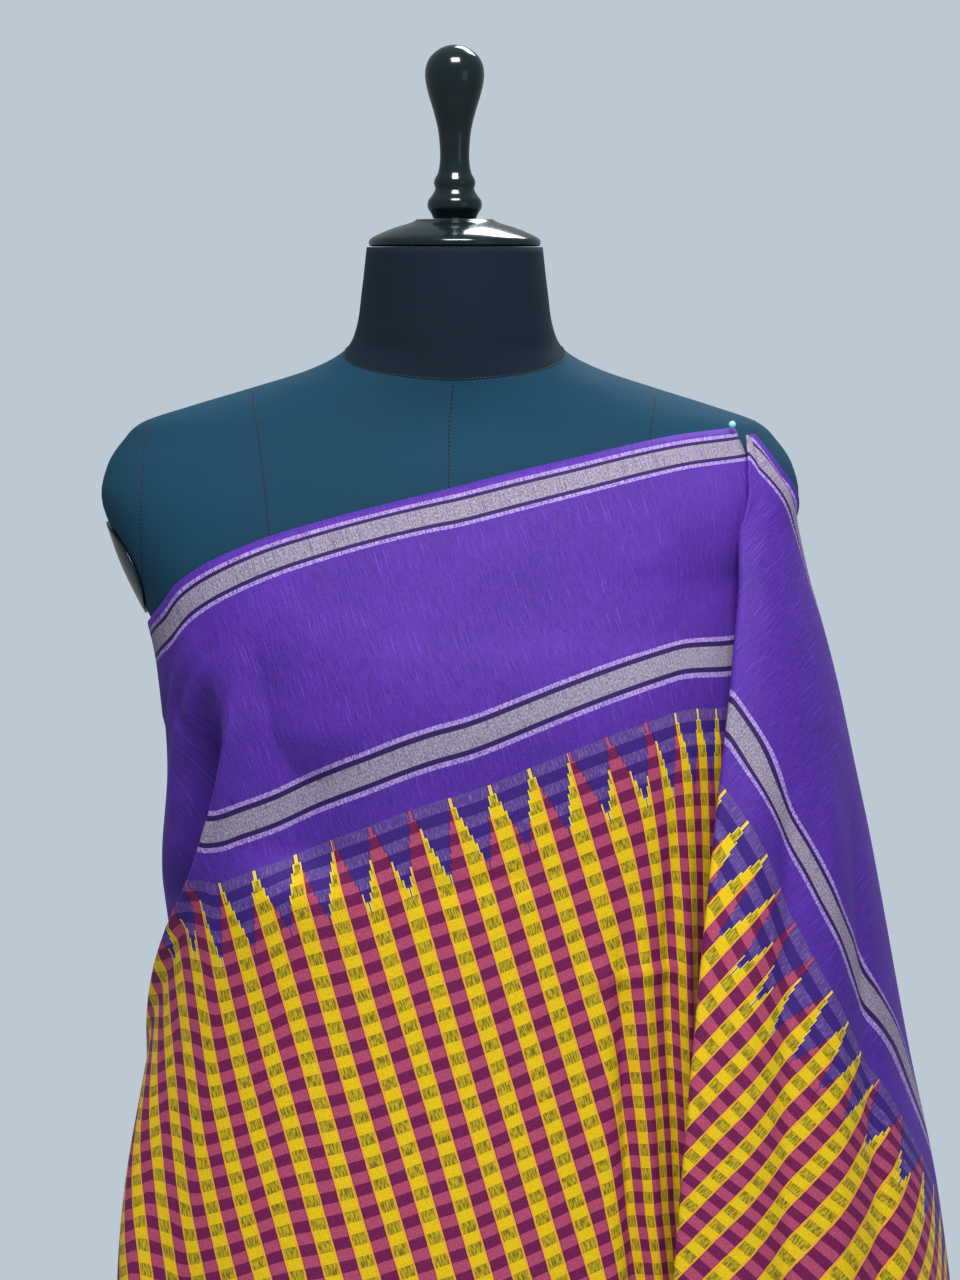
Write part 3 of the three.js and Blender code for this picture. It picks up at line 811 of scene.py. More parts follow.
def arm_plate(name, middle):
    """A slightly domed oval that lies on the lower, outer side of an arm cap."""
    rings = np.linspace(0.04, 1, 14)
    sizes = np.concatenate([rings, np.linspace(1, 0.04, 14)])
    lifts = PLATE["gap"] + PLATE["rim"] + PLATE["dome"] * (1 - sizes**2)
    lifts[:len(rings)] = PLATE["gap"]
    turn = np.arange(64) * 2 * math.pi / 64
    angle = middle + sizes[:, None] * PLATE["half_angle"] * np.cos(turn)
    z = PLATE["z"] + sizes[:, None] * PLATE["half_height"] * np.sin(turn)
    skin = form_point(angle, z)
    climb = (FORM("side", z + 1) - FORM("side", z - 1)) / 2
    out = np.stack([skin[..., 0] - FORM("centre", z), skin[..., 1], np.zeros_like(z)], axis=-1)
    out /= np.linalg.norm(out, axis=-1, keepdims=True)
    out[..., 2] = -climb
    out /= np.linalg.norm(out, axis=-1, keepdims=True)
    flip = middle == 0
    return grid_object(name, skin + out * lifts[:, None, None], wrap=True, caps=True, flip=flip)


for side, middle in (("left", 0.0), ("right", 180.0)):
    plate = arm_plate(f"arm_plate_{side}_polished", middle)
    finish_piece(plate, POLISH, f"arm_plate_{side}")
print("plates", 2 * PLATE["half_height"], "mm high, at", PLATE["z"], "mm")

# %% [markdown]
# ## Layers of cloth
# Four values place every layer: how thick the cloth's wall is in the CAD model, how far it lies
# from the form, how far two layers lie from each other, and how thick the visible cloth is.

# %% Cloth sizes
CLOTH = 1.6
SEAT = 0.9
LAYER = 0.6
SHELL = 0.7
WAIST = 1036.0
HEM = 30.0
PIN = np.array([172.0, -22.0, 1361.0])
print("cloth", SHELL, "mm thick, pinned at", PIN.tolist())


def lengths(points, axis):
    """Running length along a grid of points, starting at 0, along one axis of the grid."""
    steps = np.linalg.norm(np.diff(points, axis=axis), axis=-1)
    start = np.zeros_like(np.take(steps, [0], axis=axis))
    return np.concatenate([start, np.cumsum(steps, axis=axis)], axis=axis)


def cloth_piece(name, points, uv, node, material, flip=False):
    """A sheet of cloth with its weave coordinates and the thickness of cloth."""
    obj = grid_object(name, points, flip=flip, uv=uv)
    finish_piece(obj, material, node)
    shell = obj.modifiers.new("thickness", "SOLIDIFY")
    shell.thickness = SHELL * MM
    shell.offset = 0.0
    print(name, len(obj.data.polygons), "faces")
    return obj


# %% [markdown]
# ## The skirt's first round
# The cloth first goes once round the hips, tucked in at the waist. It is all but hidden, so a
# tube with a few soft folds is enough.

# %% Skirt
SKIRT = smooth_table(["z", "side", "front", "back"], [
    [30, 222, 152, 196],
    [300, 200, 136, 170],
    [600, 177, 119, 141],
    [800, 170, 107, 122],
    [860, 169, 105, 120],
    [905, 167, 103, 118.5],
    [970, 146, 93, 103],
    [1036, 121.3, 81.5, 84.8],
])


def skirt_points(columns=240, rows=70):
    folds = dict(count=9, depth=5.0, start=790.0)
    angle = (np.arange(columns + 1) * 360 / columns)[None, :]
    z = np.linspace(WAIST, HEM, rows)[:, None]
    growth = ease((folds["start"] - z) / (folds["start"] - HEM))
    wave = folds["depth"] * growth * np.sin(np.radians(folds["count"] * angle))
    depth = np.where(angle > 180, SKIRT("front", z), SKIRT("back", z))
    out = SEAT + CLOTH / 2 + wave
    power = FORM("power", np.maximum(z, FORM_BOTTOM))
    return section_point(0.0, SKIRT("side", z) + out, depth + out, power, angle, z)


def hanging_uv(points):
    """Weave coordinates of cloth that hangs straight: its lower selvedge is the hem."""
    along = lengths(points, 1)
    down = lengths(points, 0)
    across = CLOTH_WIDTH - (down[-1:, :] - down)
    middle = along.shape[0] // 2
    return np.stack([np.broadcast_to(along[middle], along.shape), across], axis=-1)


skirt_grid = skirt_points()
skirt = cloth_piece("saree_skirt", skirt_grid, hanging_uv(skirt_grid), "skirt_wrap", WEAVE, flip=True)

# %% [markdown]
# ## The pleats
# After the first round the cloth is folded back and forth into knife pleats and tucked in at
# the front. The section is a wave that leans over, so each pleat lies on the next.

# %% Pleats
PLEATS = dict(count=6, pitch=27.0, middle=-6.0, depth=11.0, slant=0.36, top=1028.0, bottom=34.0)
PLEAT_SEAT = smooth_table(["z", "front", "spread"], [
    [34, 176, 1.25],
    [300, 159, 1.12],
    [600, 141, 1],
    [850, 125, 0.85],
    [940, 114, 0.72],
    [970, 107, 0.68],
    [1000, 99.5, 0.64],
    [1028, 92.2, 0.6],
])


def pleat_points(columns=216, rows=60):
    turns = np.linspace(0, PLEATS["count"], columns + 1)[None, :]
    z = np.linspace(PLEATS["top"], PLEATS["bottom"], rows)[:, None]
    lean = PLEATS["slant"] * np.sin(2 * math.pi * turns)
    width = PLEAT_SEAT("spread", z) * PLEATS["pitch"]
    x = PLEATS["middle"] + width * (turns - PLEATS["count"] / 2 + lean)
    opened = mix(0.4, 1, ease((PLEATS["top"] - z) / 500))
    fold = PLEATS["depth"] * opened * np.cos(2 * math.pi * turns)
    y = -PLEAT_SEAT("front", z) + (x / 260) ** 2 * 60 + fold
    return np.stack(np.broadcast_arrays(x, y - CLOTH / 2, z), axis=-1)


pleat_grid = pleat_points()
pleats = cloth_piece("saree_pleats", pleat_grid, hanging_uv(pleat_grid), "front_pleats", WEAVE)

# %% [markdown]
# ## The outer stretch
# From the pleats the cloth goes round the left hip and the back, comes out under the right arm
# and crosses the chest to the left shoulder. Its upper selvedge climbs all the way, like the
# thread of a screw, and its lower one climbs with it. A table gives the hanging cloth's level
# sections, another the two selvedges, and more tables its folds and creases. Those near the arm
# and beside the shoulder fold are placed where the cloth pulls towards the pin.

# %% Sizes of the outer stretch
WRAP = smooth_table(["z", "firstFront", "firstSide", "back", "lastSide", "front", "endSide"], [
    [30, 176, 252, 224, 285, 204, 262],
    [300, 158, 226, 196, 262, 188, 246],
    [600, 137, 199, 164, 236, 169, 230],
    [833, 114, 179, 133, 212, 152, 218],
    [900, 110, 175, 126, 203, 146, 214],
    [976, 98, 157, 117, 189, 139, 210],
    [1040, 88, 130, 109, 182, 135, 207],
    [1100, 88, 132, 102, 180, 132, 204],
    [1150, 88, 140, 100, 176, 130, 202],
    [1192, 88, 150, 101, 178, 127, 200],
    [1224, 88, 170, 101, 181, 119, 199],
    [1250, 88, 186, 101, 186, 108, 199],
    [1290, 86, 186, 96, 186, 92, 196],
    [1330, 70, 180, 80, 180, 72, 188],
    [1365, 55, 160, 62, 160, 56, 165],
])
WRAP_START, WRAP_FINISH = -64.0, 337.0
WRAP_EDGES = smooth_table(["angle", "top", "bottom"], [
    [-64, 1036, 30],
    [0, 1066, 30],
    [45, 1104, 30],
    [90, 1150, 34],
    [135, 1193, 52],
    [165, 1222, 72],
    [180, 1237, 80],
    [190, 1243, 86],
    [199, 1249, 92],
    [208, 1257, 97],
    [218, 1271, 104],
    [233.5, 1289.5, 116],
    [246.5, 1304, 124],
    [275, 1332, 138],
    [299.5, 1347.5, 150],
    [319.5, 1357.5, 160],
    [337, 1361.5, 168],
])
WRAP_END = smooth_table(["z", "x"], [
    [130, 130],
    [300, 140],
    [833, 165],
    [1000, 170],
    [1180, 175],
    [1240, 177],
    [1267, 181],
    [1300, 185],
    [1340, 177],
    [1361, 169],
])
print("outer stretch turns through", WRAP_FINISH - WRAP_START, "degrees")

# %% Folds and creases of the outer stretch
FOLD_COLUMNS = ("from", "top", "to", "bottom", "width", "depth")
WRAP_FOLDS = [
    (247, 1256, 243, 1130, 11, -11),
    (189, 1030, 238, 500, 9, 10),
    (176, 960, 212, 200, 9, -12),
    (212, 800, 262, 60, 11, -13),
    (262, 760, 282, 60, 10, 12),
    (282, 780, 302, 60, 9, -12),
    (168, 760, 186, 60, 9, 11),
    (142, 940, 150, 60, 10, -12),
    (116, 860, 118, 40, 9, 11),
    (88, 940, 84, 40, 9, -11),
    (58, 860, 52, 40, 9, 10),
    (28, 860, 20, 40, 10, -10),
]
WRAP_CREASES = [
    (232, 1252, 204, 1196, 3.0, -3.0),
    (222, 1246, 196, 1150, 3.2, 2.6),
    (213, 1244, 190, 1180, 2.6, -2.0),
    (295, 1090, 297, 800, 1.5, -5.0),
    (298.6, 1110, 300.6, 800, 1.8, 3.4),
    (304, 1180, 306, 850, 1.8, -3.6),
    (307.6, 1200, 309.5, 700, 1.7, 3.4),
    (312, 1180, 313.5, 640, 2.0, -4.0),
    (291, 1130, 292.5, 760, 2.2, 2.2),
    (316, 1150, 317, 700, 3.0, -3.5),
    (284, 1020, 287, 640, 2.8, -1.8),
    (158, 1190, 166, 900, 4.0, 3.0),
    (148, 1170, 152, 860, 4.0, -3.0),
    (128, 1150, 126, 900, 4.5, 2.6),
    (104, 1110, 108, 880, 4.0, -2.4),
    (76, 1100, 72, 900, 4.5, 2.4),
    (44, 1060, 40, 860, 4.0, -2.4),
]
TUCK_RIDGE = smooth_table(["z", "angle"], [
    [960, 176], [1000, 186], [1043, 198], [1093, 214.5], [1130, 221], [1165, 225.5], [1225, 232],
])
LEDGES = [
    dict(left=287, right=309, z=1043, slant=0.15, height=4.5, depth=2.0),
    dict(left=262, right=283, z=1098, slant=0.7, height=4.0, depth=-1.3),
]
TUCK = dict(ridge=8, ridge_width=3.4, trough=29, behind=13, width=8)
TUCK_SPAN = dict(by=1, top=(1226, -75), bottom=(930, 110))
print(len(WRAP_FOLDS), "folds,", len(WRAP_CREASES), "creases and", len(LEDGES), "ledges")


def tuck_relief(angle, z):
    """The crisp ridge beside the bust, and the deep trough behind it that runs under the arm."""
    behind = TUCK_RIDGE("angle", z) - angle
    ridge = TUCK["ridge"] * bell(behind, TUCK["ridge_width"])
    trough = TUCK["trough"] * bell(behind - TUCK["behind"], TUCK["width"])
    return swell(TUCK_SPAN, top=z, bottom=z) * (ridge - trough)


def ledge_relief(angle, z):
    """Short level creases, where the cloth was folded flat before it was worn."""
    relief = np.zeros(np.broadcast(angle, z).shape)
    for ledge in LEDGES:
        middle = (ledge["left"] + ledge["right"]) / 2
        inside = ease((angle - ledge["left"]) / 4) * ease((ledge["right"] - angle) / 4)
        away = z - ledge["z"] - ledge["slant"] * (angle - middle)
        relief = relief + ledge["depth"] * inside * bell(away, ledge["height"])
    return relief


def fold_relief(table, angle, z):
    """How far a table's folds move the cloth out (or in) at each angle and height."""
    relief = np.zeros(np.broadcast(angle, z).shape)
    for row in table:
        fold = dict(zip(FOLD_COLUMNS, row))
        path = (fold["top"] - z) / (fold["top"] - fold["bottom"])
        middle = mix(fold["from"], fold["to"], np.clip(path, 0, 1))
        growth = ease(path * 2.5) * ease((1.35 - path) * 4)
        relief = relief + fold["depth"] * growth * bell(angle - middle, fold["width"])
    return relief


# %% Points of the outer stretch
def push_out(points, side, depth):
    """Moves points level outwards until they lie outside a section of the given half sizes."""
    x, y, z = points[..., 0], points[..., 1], points[..., 2]
    high = np.maximum(z, FORM_BOTTOM)
    centre = np.where(z > 1180, FORM("centre", high), 0.0)
    power = FORM("power", high)
    share = (np.abs((x - centre) / side) ** power + np.abs(y / depth) ** power) ** (1 / power)
    share = np.minimum(np.maximum(share, 1e-6), 1.0)
    return np.stack([centre + (x - centre) / share, y / share, z], axis=-1)


def form_half_sizes(points):
    """The form's half width and half depth at the height and on the side of each point."""
    high = np.maximum(points[..., 2], FORM_BOTTOM)
    return FORM("side", high), np.where(points[..., 1] < 0, FORM("front", high), FORM("back", high))


def wrap_point(angle, z, offset):
    angle, z = np.broadcast_arrays(np.asarray(angle, float), np.asarray(z, float))
    high = np.maximum(z, FORM_BOTTOM)
    side = np.where(angle > 270, WRAP("endSide", z), WRAP("lastSide", z))
    side = np.where(angle < 90, WRAP("firstSide", z), side)
    depth = np.where(angle > 180, WRAP("front", z), WRAP("back", z))
    depth = np.where(angle < 0, WRAP("firstFront", z), depth)
    skin = np.where((angle > 180) | (angle < 0), FORM("front", high), FORM("back", high))
    lift = offset + fold_relief(WRAP_FOLDS, angle, z) + fold_relief(WRAP_CREASES, angle, z)
    lift = lift + tuck_relief(angle, z) + ledge_relief(angle, z)
    centre = np.where(z > 1180, FORM("centre", high), 0.0)
    reach = np.maximum(side, FORM("side", high)) + lift
    depth = np.maximum(depth, skin) + lift
    points = section_point(centre, reach, depth, FORM("power", high), angle, z)
    side, skin = form_half_sizes(points)
    return push_out(points, side + offset, skin + offset)


def wrap_end_angle(z):
    high = np.maximum(z, FORM_BOTTOM)
    side = np.maximum(WRAP("endSide", z), FORM("side", high)) + SEAT
    share = (WRAP_END("x", z) - FORM("centre", high)) / side
    return 360 - np.degrees(np.arccos(share ** (FORM("power", high) / 2)))


# %% [markdown]
# ## Weave coordinates on the outer stretch
# Cloth can't stretch, so its pattern is laid out by length. Down each column the distance from
# the upper selvedge gives the place across the cloth, and round each level section the length of
# the section gives the place along it. The selvedge climbs by a steady slope, which turns both.

# %% Lengths round the outer stretch
ROW_SLOPE = math.radians(16.5)


def section_length(angle, z):
    """Length round the level section from the middle of the front, read from a fine table."""
    turns = np.linspace(WRAP_START - 2, WRAP_FINISH + 8, 900)
    heights = np.linspace(25, 1365, 90)
    ring = wrap_point(turns[None, :], heights[:, None], SEAT + CLOTH / 2)
    run = lengths(ring, 1)
    run = run - np.array([np.interp(270.0, turns, row) for row in run])[:, None]
    across = (angle - turns[0]) / (turns[1] - turns[0])
    down = (z - heights[0]) / (heights[1] - heights[0])
    i = np.clip(across.astype(int), 0, len(turns) - 2)
    j = np.clip(down.astype(int), 0, len(heights) - 2)
    a, b = across - i, down - j
    low = run[j, i] * (1 - a) + run[j, i + 1] * a
    high = run[j + 1, i] * (1 - a) + run[j + 1, i + 1] * a
    return low * (1 - b) + high * b


# %% Small shifts of the weave
SHOULDER_FOLD = smooth_table(["z", "x"], [
    [900, 132], [975, 141], [1060, 149], [1111, 154], [1154, 159], [1202, 165], [1267, 168],
    [1340, 168],
])
IN_FRONT = dict(by=1, angle=(200, 20))
RISE = dict(by=18, x=(-60, 170), across=(0, 150))
RISE_SPENT = dict(by=0.3, x=(130, 35))
LEVEL = dict(by=16, x=(100, 65), across=(200, 150))
SLIP = dict(by=55, behind=(3, 6), across=(45, 90), angle=(110, 60))
GATHER = dict(pull=40, reach=51, most=1.1, power=1.8)


def settled_weave(points, angle, along, across):
    """The weave's small shifts: it rides up on the chest, is gathered towards the shoulder
    fold, and slips down out of sight in the tuck under the arm."""
    x, z = points[..., 0], points[..., 2]
    in_front = swell(IN_FRONT, angle=angle)
    rise = swell(RISE, x=x, across=across) * (1 - swell(RISE_SPENT, x=x))
    rise = rise - swell(LEVEL, x=x, across=across)
    to_fold = np.clip((x - SHOULDER_FOLD("x", z)) / GATHER["reach"] + 1, 0, GATHER["most"])
    gather = GATHER["pull"] * to_fold ** GATHER["power"]
    slip = swell(SLIP, behind=TUCK_RIDGE("angle", z) - angle, across=across, angle=angle)
    return np.stack([along + gather * in_front, across + rise * in_front - slip], axis=-1)


# %% The outer stretch's grid
FRONT_FROM = 0.56
UPPER_PART, UPPER_ROWS = 0.42, 0.72
SHOULDER_LIFT = dict(by=1.4, z=(1262, 30), angle=(275, 30))
SPARE_TAKEN = dict(by=1, across=(500, 520))


def drape_grid(columns=300, rows=155):
    """The stretch's points and weave places, with most columns in front and most rows above."""
    behind = np.linspace(0, FRONT_FROM, int(columns * FRONT_FROM / 2), endpoint=False)
    ahead = np.linspace(FRONT_FROM, 1.0, columns - len(behind) + 1)
    s = np.concatenate([behind, ahead])[None, :]
    upper = np.linspace(0, UPPER_PART, int(rows * UPPER_ROWS), endpoint=False)
    t = np.concatenate([upper, np.linspace(UPPER_PART, 1, rows - len(upper))])[:, None]
    nominal = mix(WRAP_START, WRAP_FINISH, s)
    z = mix(WRAP_EDGES("top", nominal), WRAP_EDGES("bottom", nominal), t)
    turned_on = ease((nominal - 270) / (WRAP_FINISH - 270))
    angle = nominal + (wrap_end_angle(z) - WRAP_FINISH) * turned_on
    lift = SEAT + CLOTH / 2 + swell(SHOULDER_LIFT, z=z, angle=nominal)
    points = wrap_point(angle, z, lift)
    down = lengths(points, 0)
    along = section_length(angle, z) / math.cos(ROW_SLOPE) - down * math.sin(ROW_SLOPE)
    uv = settled_weave(points, angle, along, down * math.cos(ROW_SLOPE))
    spare = CLOTH_WIDTH - uv[-1:, :, 1]
    uv[..., 1] += spare * swell(SPARE_TAKEN, across=uv[..., 1])
    return points, uv


drape_points, drape_uv = drape_grid()
drape = cloth_piece("saree_drape", drape_points, drape_uv, "body_drape", WEAVE, flip=True)

# %% [markdown]
# ## The free end
# From the pin the end of the cloth falls over the arm cap. It hangs in a cone, because it is
# held at one point: its front edge is folded under and its selvedge runs to the back. Spread
# flat it would be a wedge, so the distance from the pin and the angle in the wedge give the
# place in the weave.

# %% Sizes of the free end
PALLU = smooth_table(["z", "foldX", "foldY", "sideX", "sideY", "back", "turn"], [
    [200, 87, -224, 368, 0, 176, 112],
    [450, 102, -208, 352, 0, 166, 108],
    [700, 117, -190, 330, 0, 157, 93],
    [882, 131.5, -172, 303, 0, 150, 67],
    [975, 139.5, -162, 283, 0, 145, 54],
    [1060, 147.5, -150, 267, 0, 140, 38],
    [1111, 153, -141, 257, 0, 134, 28],
    [1154, 158, -131, 247.5, 0, 126, 20],
    [1202, 164.5, -115, 237, 0, 112, 12],
    [1240, 169, -99, 227, 0, 90, 8],
    [1267, 172, -85, 219, 0, 60, 5],
    [1298, 173, -68, 211.5, -6, 30, 4],
    [1320, 174, -57, 206, -18, 20, 4],
    [1338, 174, -47, 195, -23, 14, 4],
    [1357, 173, -30, 182, -17, 10, 4],
])
PALLU_TOP = 1357.0
PALLU_WEDGE = 52.0
PALLU_LENGTH = 720.0
PALLU_FALL = 0.983
PALLU_RETURN = 46.0
PALLU_FOLD = 2.4
PALLU_FLUTES = dict(count=3.5, depth=13.0, start=1060.0, full=300.0)
PALLU_SOFT_FOLDS = [
    dict(path=26, width=13, depth=3.5, start=1190),
    dict(path=56, width=10, depth=-4.0, start=1180),
    dict(path=92, width=15, depth=4.0, start=1190),
    dict(path=128, width=10, depth=-3.5, start=1150),
]
print("free end", PALLU_LENGTH, "mm long, in a wedge of", PALLU_WEDGE, "degrees")


# %% The free end's panel
def keep_out(points, gap):
    """Moves points level outwards until they clear the form and the cloth under the end."""
    z, front = points[..., 2], points[..., 1] < 0
    side, skin = form_half_sizes(points)
    under_side = np.where(front, WRAP("endSide", z), WRAP("firstSide", z))
    under_depth = np.where(front, WRAP("front", z), WRAP("back", z))
    return push_out(points, np.maximum(side, under_side) + gap, np.maximum(skin, under_depth) + gap)


def pallu_lengths(z):
    """Lengths of the level section: from the fold to the side, and on round to the selvedge."""
    wide = PALLU("sideX", z) - PALLU("foldX", z)
    front = np.hypot(wide, PALLU("sideY", z) - PALLU("foldY", z)) * 1.11
    return front, np.radians(PALLU("turn", z)) * (PALLU("back", z) + wide) / 2


def pallu_panel(path, z):
    """Points of the panel, at a distance round its level section from the fold."""
    front, rear = pallu_lengths(z)
    place = path / (front + rear)
    growth = ease((PALLU_FLUTES["start"] - z) / (PALLU_FLUTES["start"] - PALLU_FLUTES["full"]))
    swing = np.sin(2 * math.pi * PALLU_FLUTES["count"] * place)
    wave = growth * PALLU_FLUTES["depth"] * swing * ease(place * 6)
    for fold in PALLU_SOFT_FOLDS:
        lean = path - fold["path"] - 0.05 * (1100 - z)
        growth = ease((fold["start"] - z) / 70)
        wave = wave + fold["depth"] * growth * bell(lean, fold["width"])
    front_turn = np.minimum(path / front, 1) * math.pi / 2
    rear_turn = np.maximum((path - front) / rear, 0) * np.radians(PALLU("turn", z))
    before = path < front
    fold_x, fold_y = PALLU("foldX", z), PALLU("foldY", z)
    side_y = PALLU("sideY", z)
    across = PALLU("sideX", z) - fold_x + wave
    x = fold_x + across * np.where(before, np.sin(front_turn), np.cos(rear_turn))
    front_y = side_y + (fold_y - side_y - wave) * np.cos(front_turn)
    y = np.where(before, front_y, side_y + (PALLU("back", z) + wave) * np.sin(rear_turn))
    return np.stack([x, y, z], axis=-1)


def pallu_return(path, z):
    """The cloth turned back under the fold: round the bend, then along the hidden side."""
    bend = np.minimum(path / PALLU_FOLD, math.pi)
    under = np.maximum(path - math.pi * PALLU_FOLD, 0)
    points = pallu_panel(under, z)
    ahead = pallu_panel(under + 1, z) - points
    inward = np.stack([-ahead[..., 1], ahead[..., 0]], axis=-1)
    inward /= np.linalg.norm(inward, axis=-1, keepdims=True)
    points[..., :2] += inward * (PALLU_FOLD * (1 - np.cos(bend)))[..., None]
    points[..., 0] -= PALLU_FOLD * np.sin(bend)
    return points


# %% The free end's weave places
TRIM = dict(by=math.radians(1.6), radius=(90, 150))
SWAY = dict(by=32, radius=(235, 165))
SWAY_BACK = dict(by=0.5, radius=(430, 100))
RUN_ON = dict(by=25, start=(155, 200), end=(458, -100))
PINCH = dict(by=10, start=(205, 50), end=(345, -45), middle=150, width=14)
SLACK = dict(by=17, radius=(345, 60), middle=135, width=26)


def end_weave(place, wedge, back, radius):
    """Weave places of the free end, from the wedge that it makes about the pin. The rest are
    small shifts: cloth swings to the side, runs on a little, is pinched, and hangs slack."""
    trimmed = swell(TRIM, radius=radius) * (1 - np.maximum(place, 0))
    spread = wedge + back / radius - trimmed
    along = radius * np.cos(spread)
    sway = swell(SWAY, radius=radius) * (1 - swell(SWAY_BACK, radius=radius))
    across = radius * np.sin(spread) - sway
    pinch = swell(PINCH, start=radius, end=radius) * bell(across - PINCH["middle"], PINCH["width"])
    slack = swell(SLACK, radius=radius) * bell(across - SLACK["middle"], SLACK["width"])
    return np.stack([along + swell(RUN_ON, start=along, end=along), across - pinch + slack], axis=-1)


# %% The free end's grid
RETURN_COLUMNS = 26
ON_SHOULDER = dict(by=1, z=(1290, 60))


def pallu_grid(columns=190, rows=150):
    """The end's points and weave places. Places below 0 are on the cloth turned back."""
    hidden = np.linspace(-1, 0, RETURN_COLUMNS, endpoint=False)
    place = np.concatenate([hidden, np.linspace(0, 1, columns - RETURN_COLUMNS)])[None, :]
    t = np.linspace(0, 1, rows)[:, None]
    wedge = np.radians(PALLU_WEDGE * (1 - np.maximum(place, 0)))
    bottom = PIN[2] - PALLU_LENGTH / np.cos(wedge) * PALLU_FALL
    z = mix(PALLU_TOP, bottom, t**1.5)
    place = np.broadcast_to(place, z.shape)
    slope = swell(ON_SHOULDER, z=z)
    bare = ease((z - 1180) / 60) * ease((place - 0.4) * 3)
    lying = SEAT + (CLOTH + LAYER) * (1 - bare) + mix(3.4, 0.4, bare) * slope
    over = lying + CLOTH + 2 * PALLU_FOLD
    bend_length = math.pi * PALLU_FOLD
    back = -np.minimum(place, 0) * (bend_length + PALLU_RETURN * ease((1345 - z) / 120) + 2)
    panel = pallu_panel(np.maximum(place, 0) * sum(pallu_lengths(z)), z)
    under = pallu_return(back, z)
    gap_over = mix(over, lying, ease((place - 0.15) * 1.8))
    gap_under = mix(over, lying + CLOTH, np.minimum(back / bend_length, 1))
    returned = place < 0
    gap = np.where(returned, gap_under, gap_over)
    points = keep_out(np.where(returned[..., None], under, panel), gap + CLOTH / 2)
    start = np.linalg.norm(points[0] - PIN, axis=-1)[None, :]
    radius = start + lengths(points, 0)
    return points, end_weave(place, wedge, back, radius)


pallu_points, pallu_uv = pallu_grid()
pallu = cloth_piece("saree_pallu", pallu_points, pallu_uv, "pallu", WEAVE_END, flip=True)

# %% [markdown]
# ## The end's hem
# The cut end is turned under and sewn down, so that it can't fray. The stitches are those of the
# seams, with purple thread, and they show on both faces of the cloth.

# %% Hem stitches
HEM_THREAD = thread_material("hem_thread", linear(62, 26, 132), linear(128, 88, 200))
hem_rows = [pallu_points[-2], mix(pallu_points[-3], pallu_points[-2], 0.4)]
stitched("pallu_hem_stitches", hem_rows, HEM_THREAD, "saree_cloth",
         Spacing=0.0042, Length=0.0028, Thickness=0.0013, Unevenness=0.0005, Seed=9)

# %% [markdown]
# ## The pin
# A round-headed dressmaker's pin holds the drape on the shoulder. Its head is a small pale
# bead, and its shank goes in through the cloth along the shoulder.

# %% Pin
BEAD = mottled_material(
    "pin_bead", (300.0, 1.0), linear(120, 205, 220), linear(165, 228, 235),
    Roughness=0.2, Coat_Weight=0.5,
)
BEAD_RADIUS = 2.3
rise = np.radians(np.linspace(-88, 88, 25))
bead_profile = [(BEAD_RADIUS * math.cos(a), BEAD_RADIUS * math.sin(a)) for a in rise]
bead = turned("pin_head", bead_profile, 32)
bead_place = Vector((PIN + (-3, -6, 2.4)) * MM)
for vertex in bead.data.vertices:
    vertex.co += bead_place
finish_piece(bead, BEAD, None)

# %% [markdown]
# ## Floor, backdrop and light
# A round pale floor and a plain pale world stand in for the room. One broad light from above
# models the folds, a weaker one from the right opens the shadows, and one lights the back. The
# world is seen as a pale backdrop but glows more weakly, so that hollows stay dark.

# %% Stage and lights
FLOOR_RADIUS = 2.3
FLOOR_SIDES = 128
BACKDROP = (0.505, 0.582, 0.652, 1.0)
GLOW = (0.82, 0.88, 0.94, 1.0)
GLOW_STRENGTH = 0.31

turn = np.arange(FLOOR_SIDES) * 2 * math.pi / FLOOR_SIDES
rim = FLOOR_RADIUS * np.stack([np.cos(turn), np.sin(turn), np.zeros(FLOOR_SIDES)], axis=-1)
floor_mesh = bpy.data.meshes.new("floor")
floor_mesh.from_pydata(rim.tolist(), [], [list(range(FLOOR_SIDES))])
floor = bpy.data.objects.new("floor", floor_mesh)
bpy.context.scene.collection.objects.link(floor)
floor_finish, _, floor_shader = new_material("floor_finish", Roughness=0.9)
floor_shader.inputs["Base Color"].default_value = linear(206, 212, 218)
floor_mesh.materials.append(floor_finish)


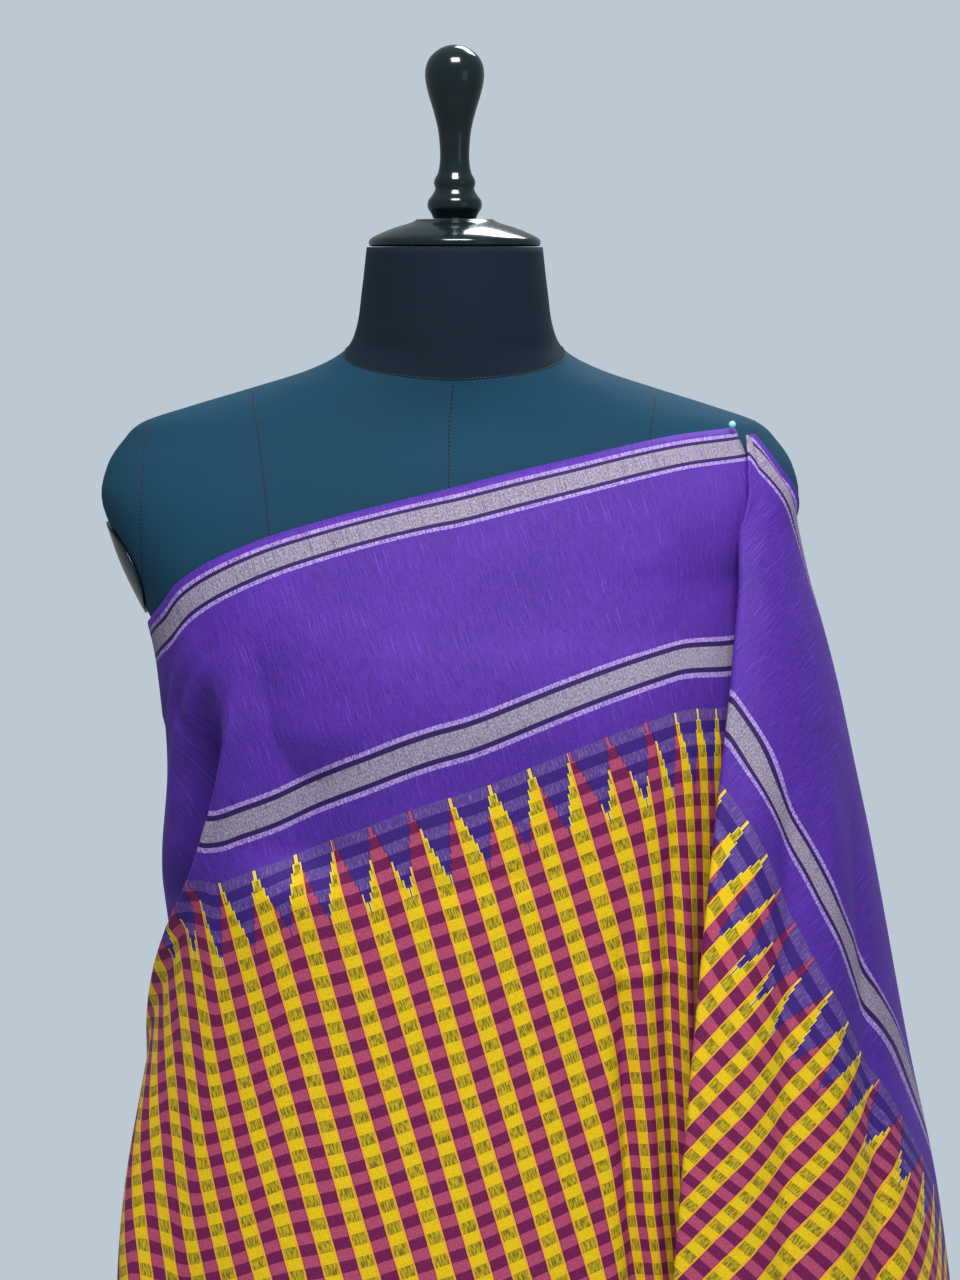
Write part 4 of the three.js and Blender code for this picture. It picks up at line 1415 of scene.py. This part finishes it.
def soft_light(name, place, target, size, power, colour):
    data = bpy.data.lights.new(name, "AREA")
    data.shape = "RECTANGLE"
    data.size, data.size_y = size
    data.energy = power
    data.color = colour
    obj = bpy.data.objects.new(name, data)
    obj.location = place
    obj.rotation_euler = (Vector(target) - Vector(place)).to_track_quat("-Z", "Y").to_euler()
    bpy.context.scene.collection.objects.link(obj)


soft_light("window_light", (0.12, -1.3, 3.35), (0, 0, 1.15), (1.1, 0.8), 90, (1.0, 0.99, 0.97))
soft_light("fill_light", (1.9, -2.2, 1.5), (0, 0, 1.1), (1.2, 1.2), 2.5, (0.93, 0.96, 1.0))
soft_light("back_light", (0.8, 2.0, 3.5), (0, 0, 1.0), (1.4, 1.0), 60, (0.96, 0.98, 1.0))
world = bpy.data.worlds.new("pale_room")
world.use_nodes = True
room = world.node_tree
backdrop = room.nodes["Background"]
backdrop.inputs["Color"].default_value = BACKDROP
glow = room.nodes.new("ShaderNodeBackground")
glow.inputs["Color"].default_value = GLOW
glow.inputs["Strength"].default_value = GLOW_STRENGTH
seen = room.nodes.new("ShaderNodeLightPath")
share = room.nodes.new("ShaderNodeMixShader")
room.links.new(seen.outputs["Is Camera Ray"], share.inputs[0])
room.links.new(glow.outputs[0], share.inputs[1])
room.links.new(backdrop.outputs[0], share.inputs[2])
room.links.new(share.outputs[0], room.nodes["World Output"].inputs["Surface"])
bpy.context.scene.world = world

# %% [markdown]
# ## The cloth's flat sizes
# Each sheet prints the flat size that it was cut to, and its area: cloth may fold, but it can't
# grow.

# %% Sheets
def area_of(grid):
    """Area of a grid of points in millimetres, in square metres: two triangles to each quad."""
    a, b, c, d = grid[:-1, :-1], grid[:-1, 1:], grid[1:, :-1], grid[1:, 1:]
    halves = [np.cross(c - a, b - a), np.cross(b - d, c - d)]
    return float(sum(np.linalg.norm(half, axis=-1).sum() for half in halves) / 2 * MM * MM)


def declare(obj, grid, uv):
    area = area_of(grid)
    length, width = np.ptp(uv.reshape(-1, 2), axis=0) * MM
    flat = (round(width, 3), round(max(length, area / width), 3))
    area = min(area, flat[0] * flat[1])
    print(obj.name, "flat", *flat, "area", round(area, 3))


declare(skirt, skirt_grid, hanging_uv(skirt_grid))
declare(pleats, pleat_grid, hanging_uv(pleat_grid))
declare(drape, drape_points, drape_uv)
declare(pallu, pallu_points, pallu_uv)
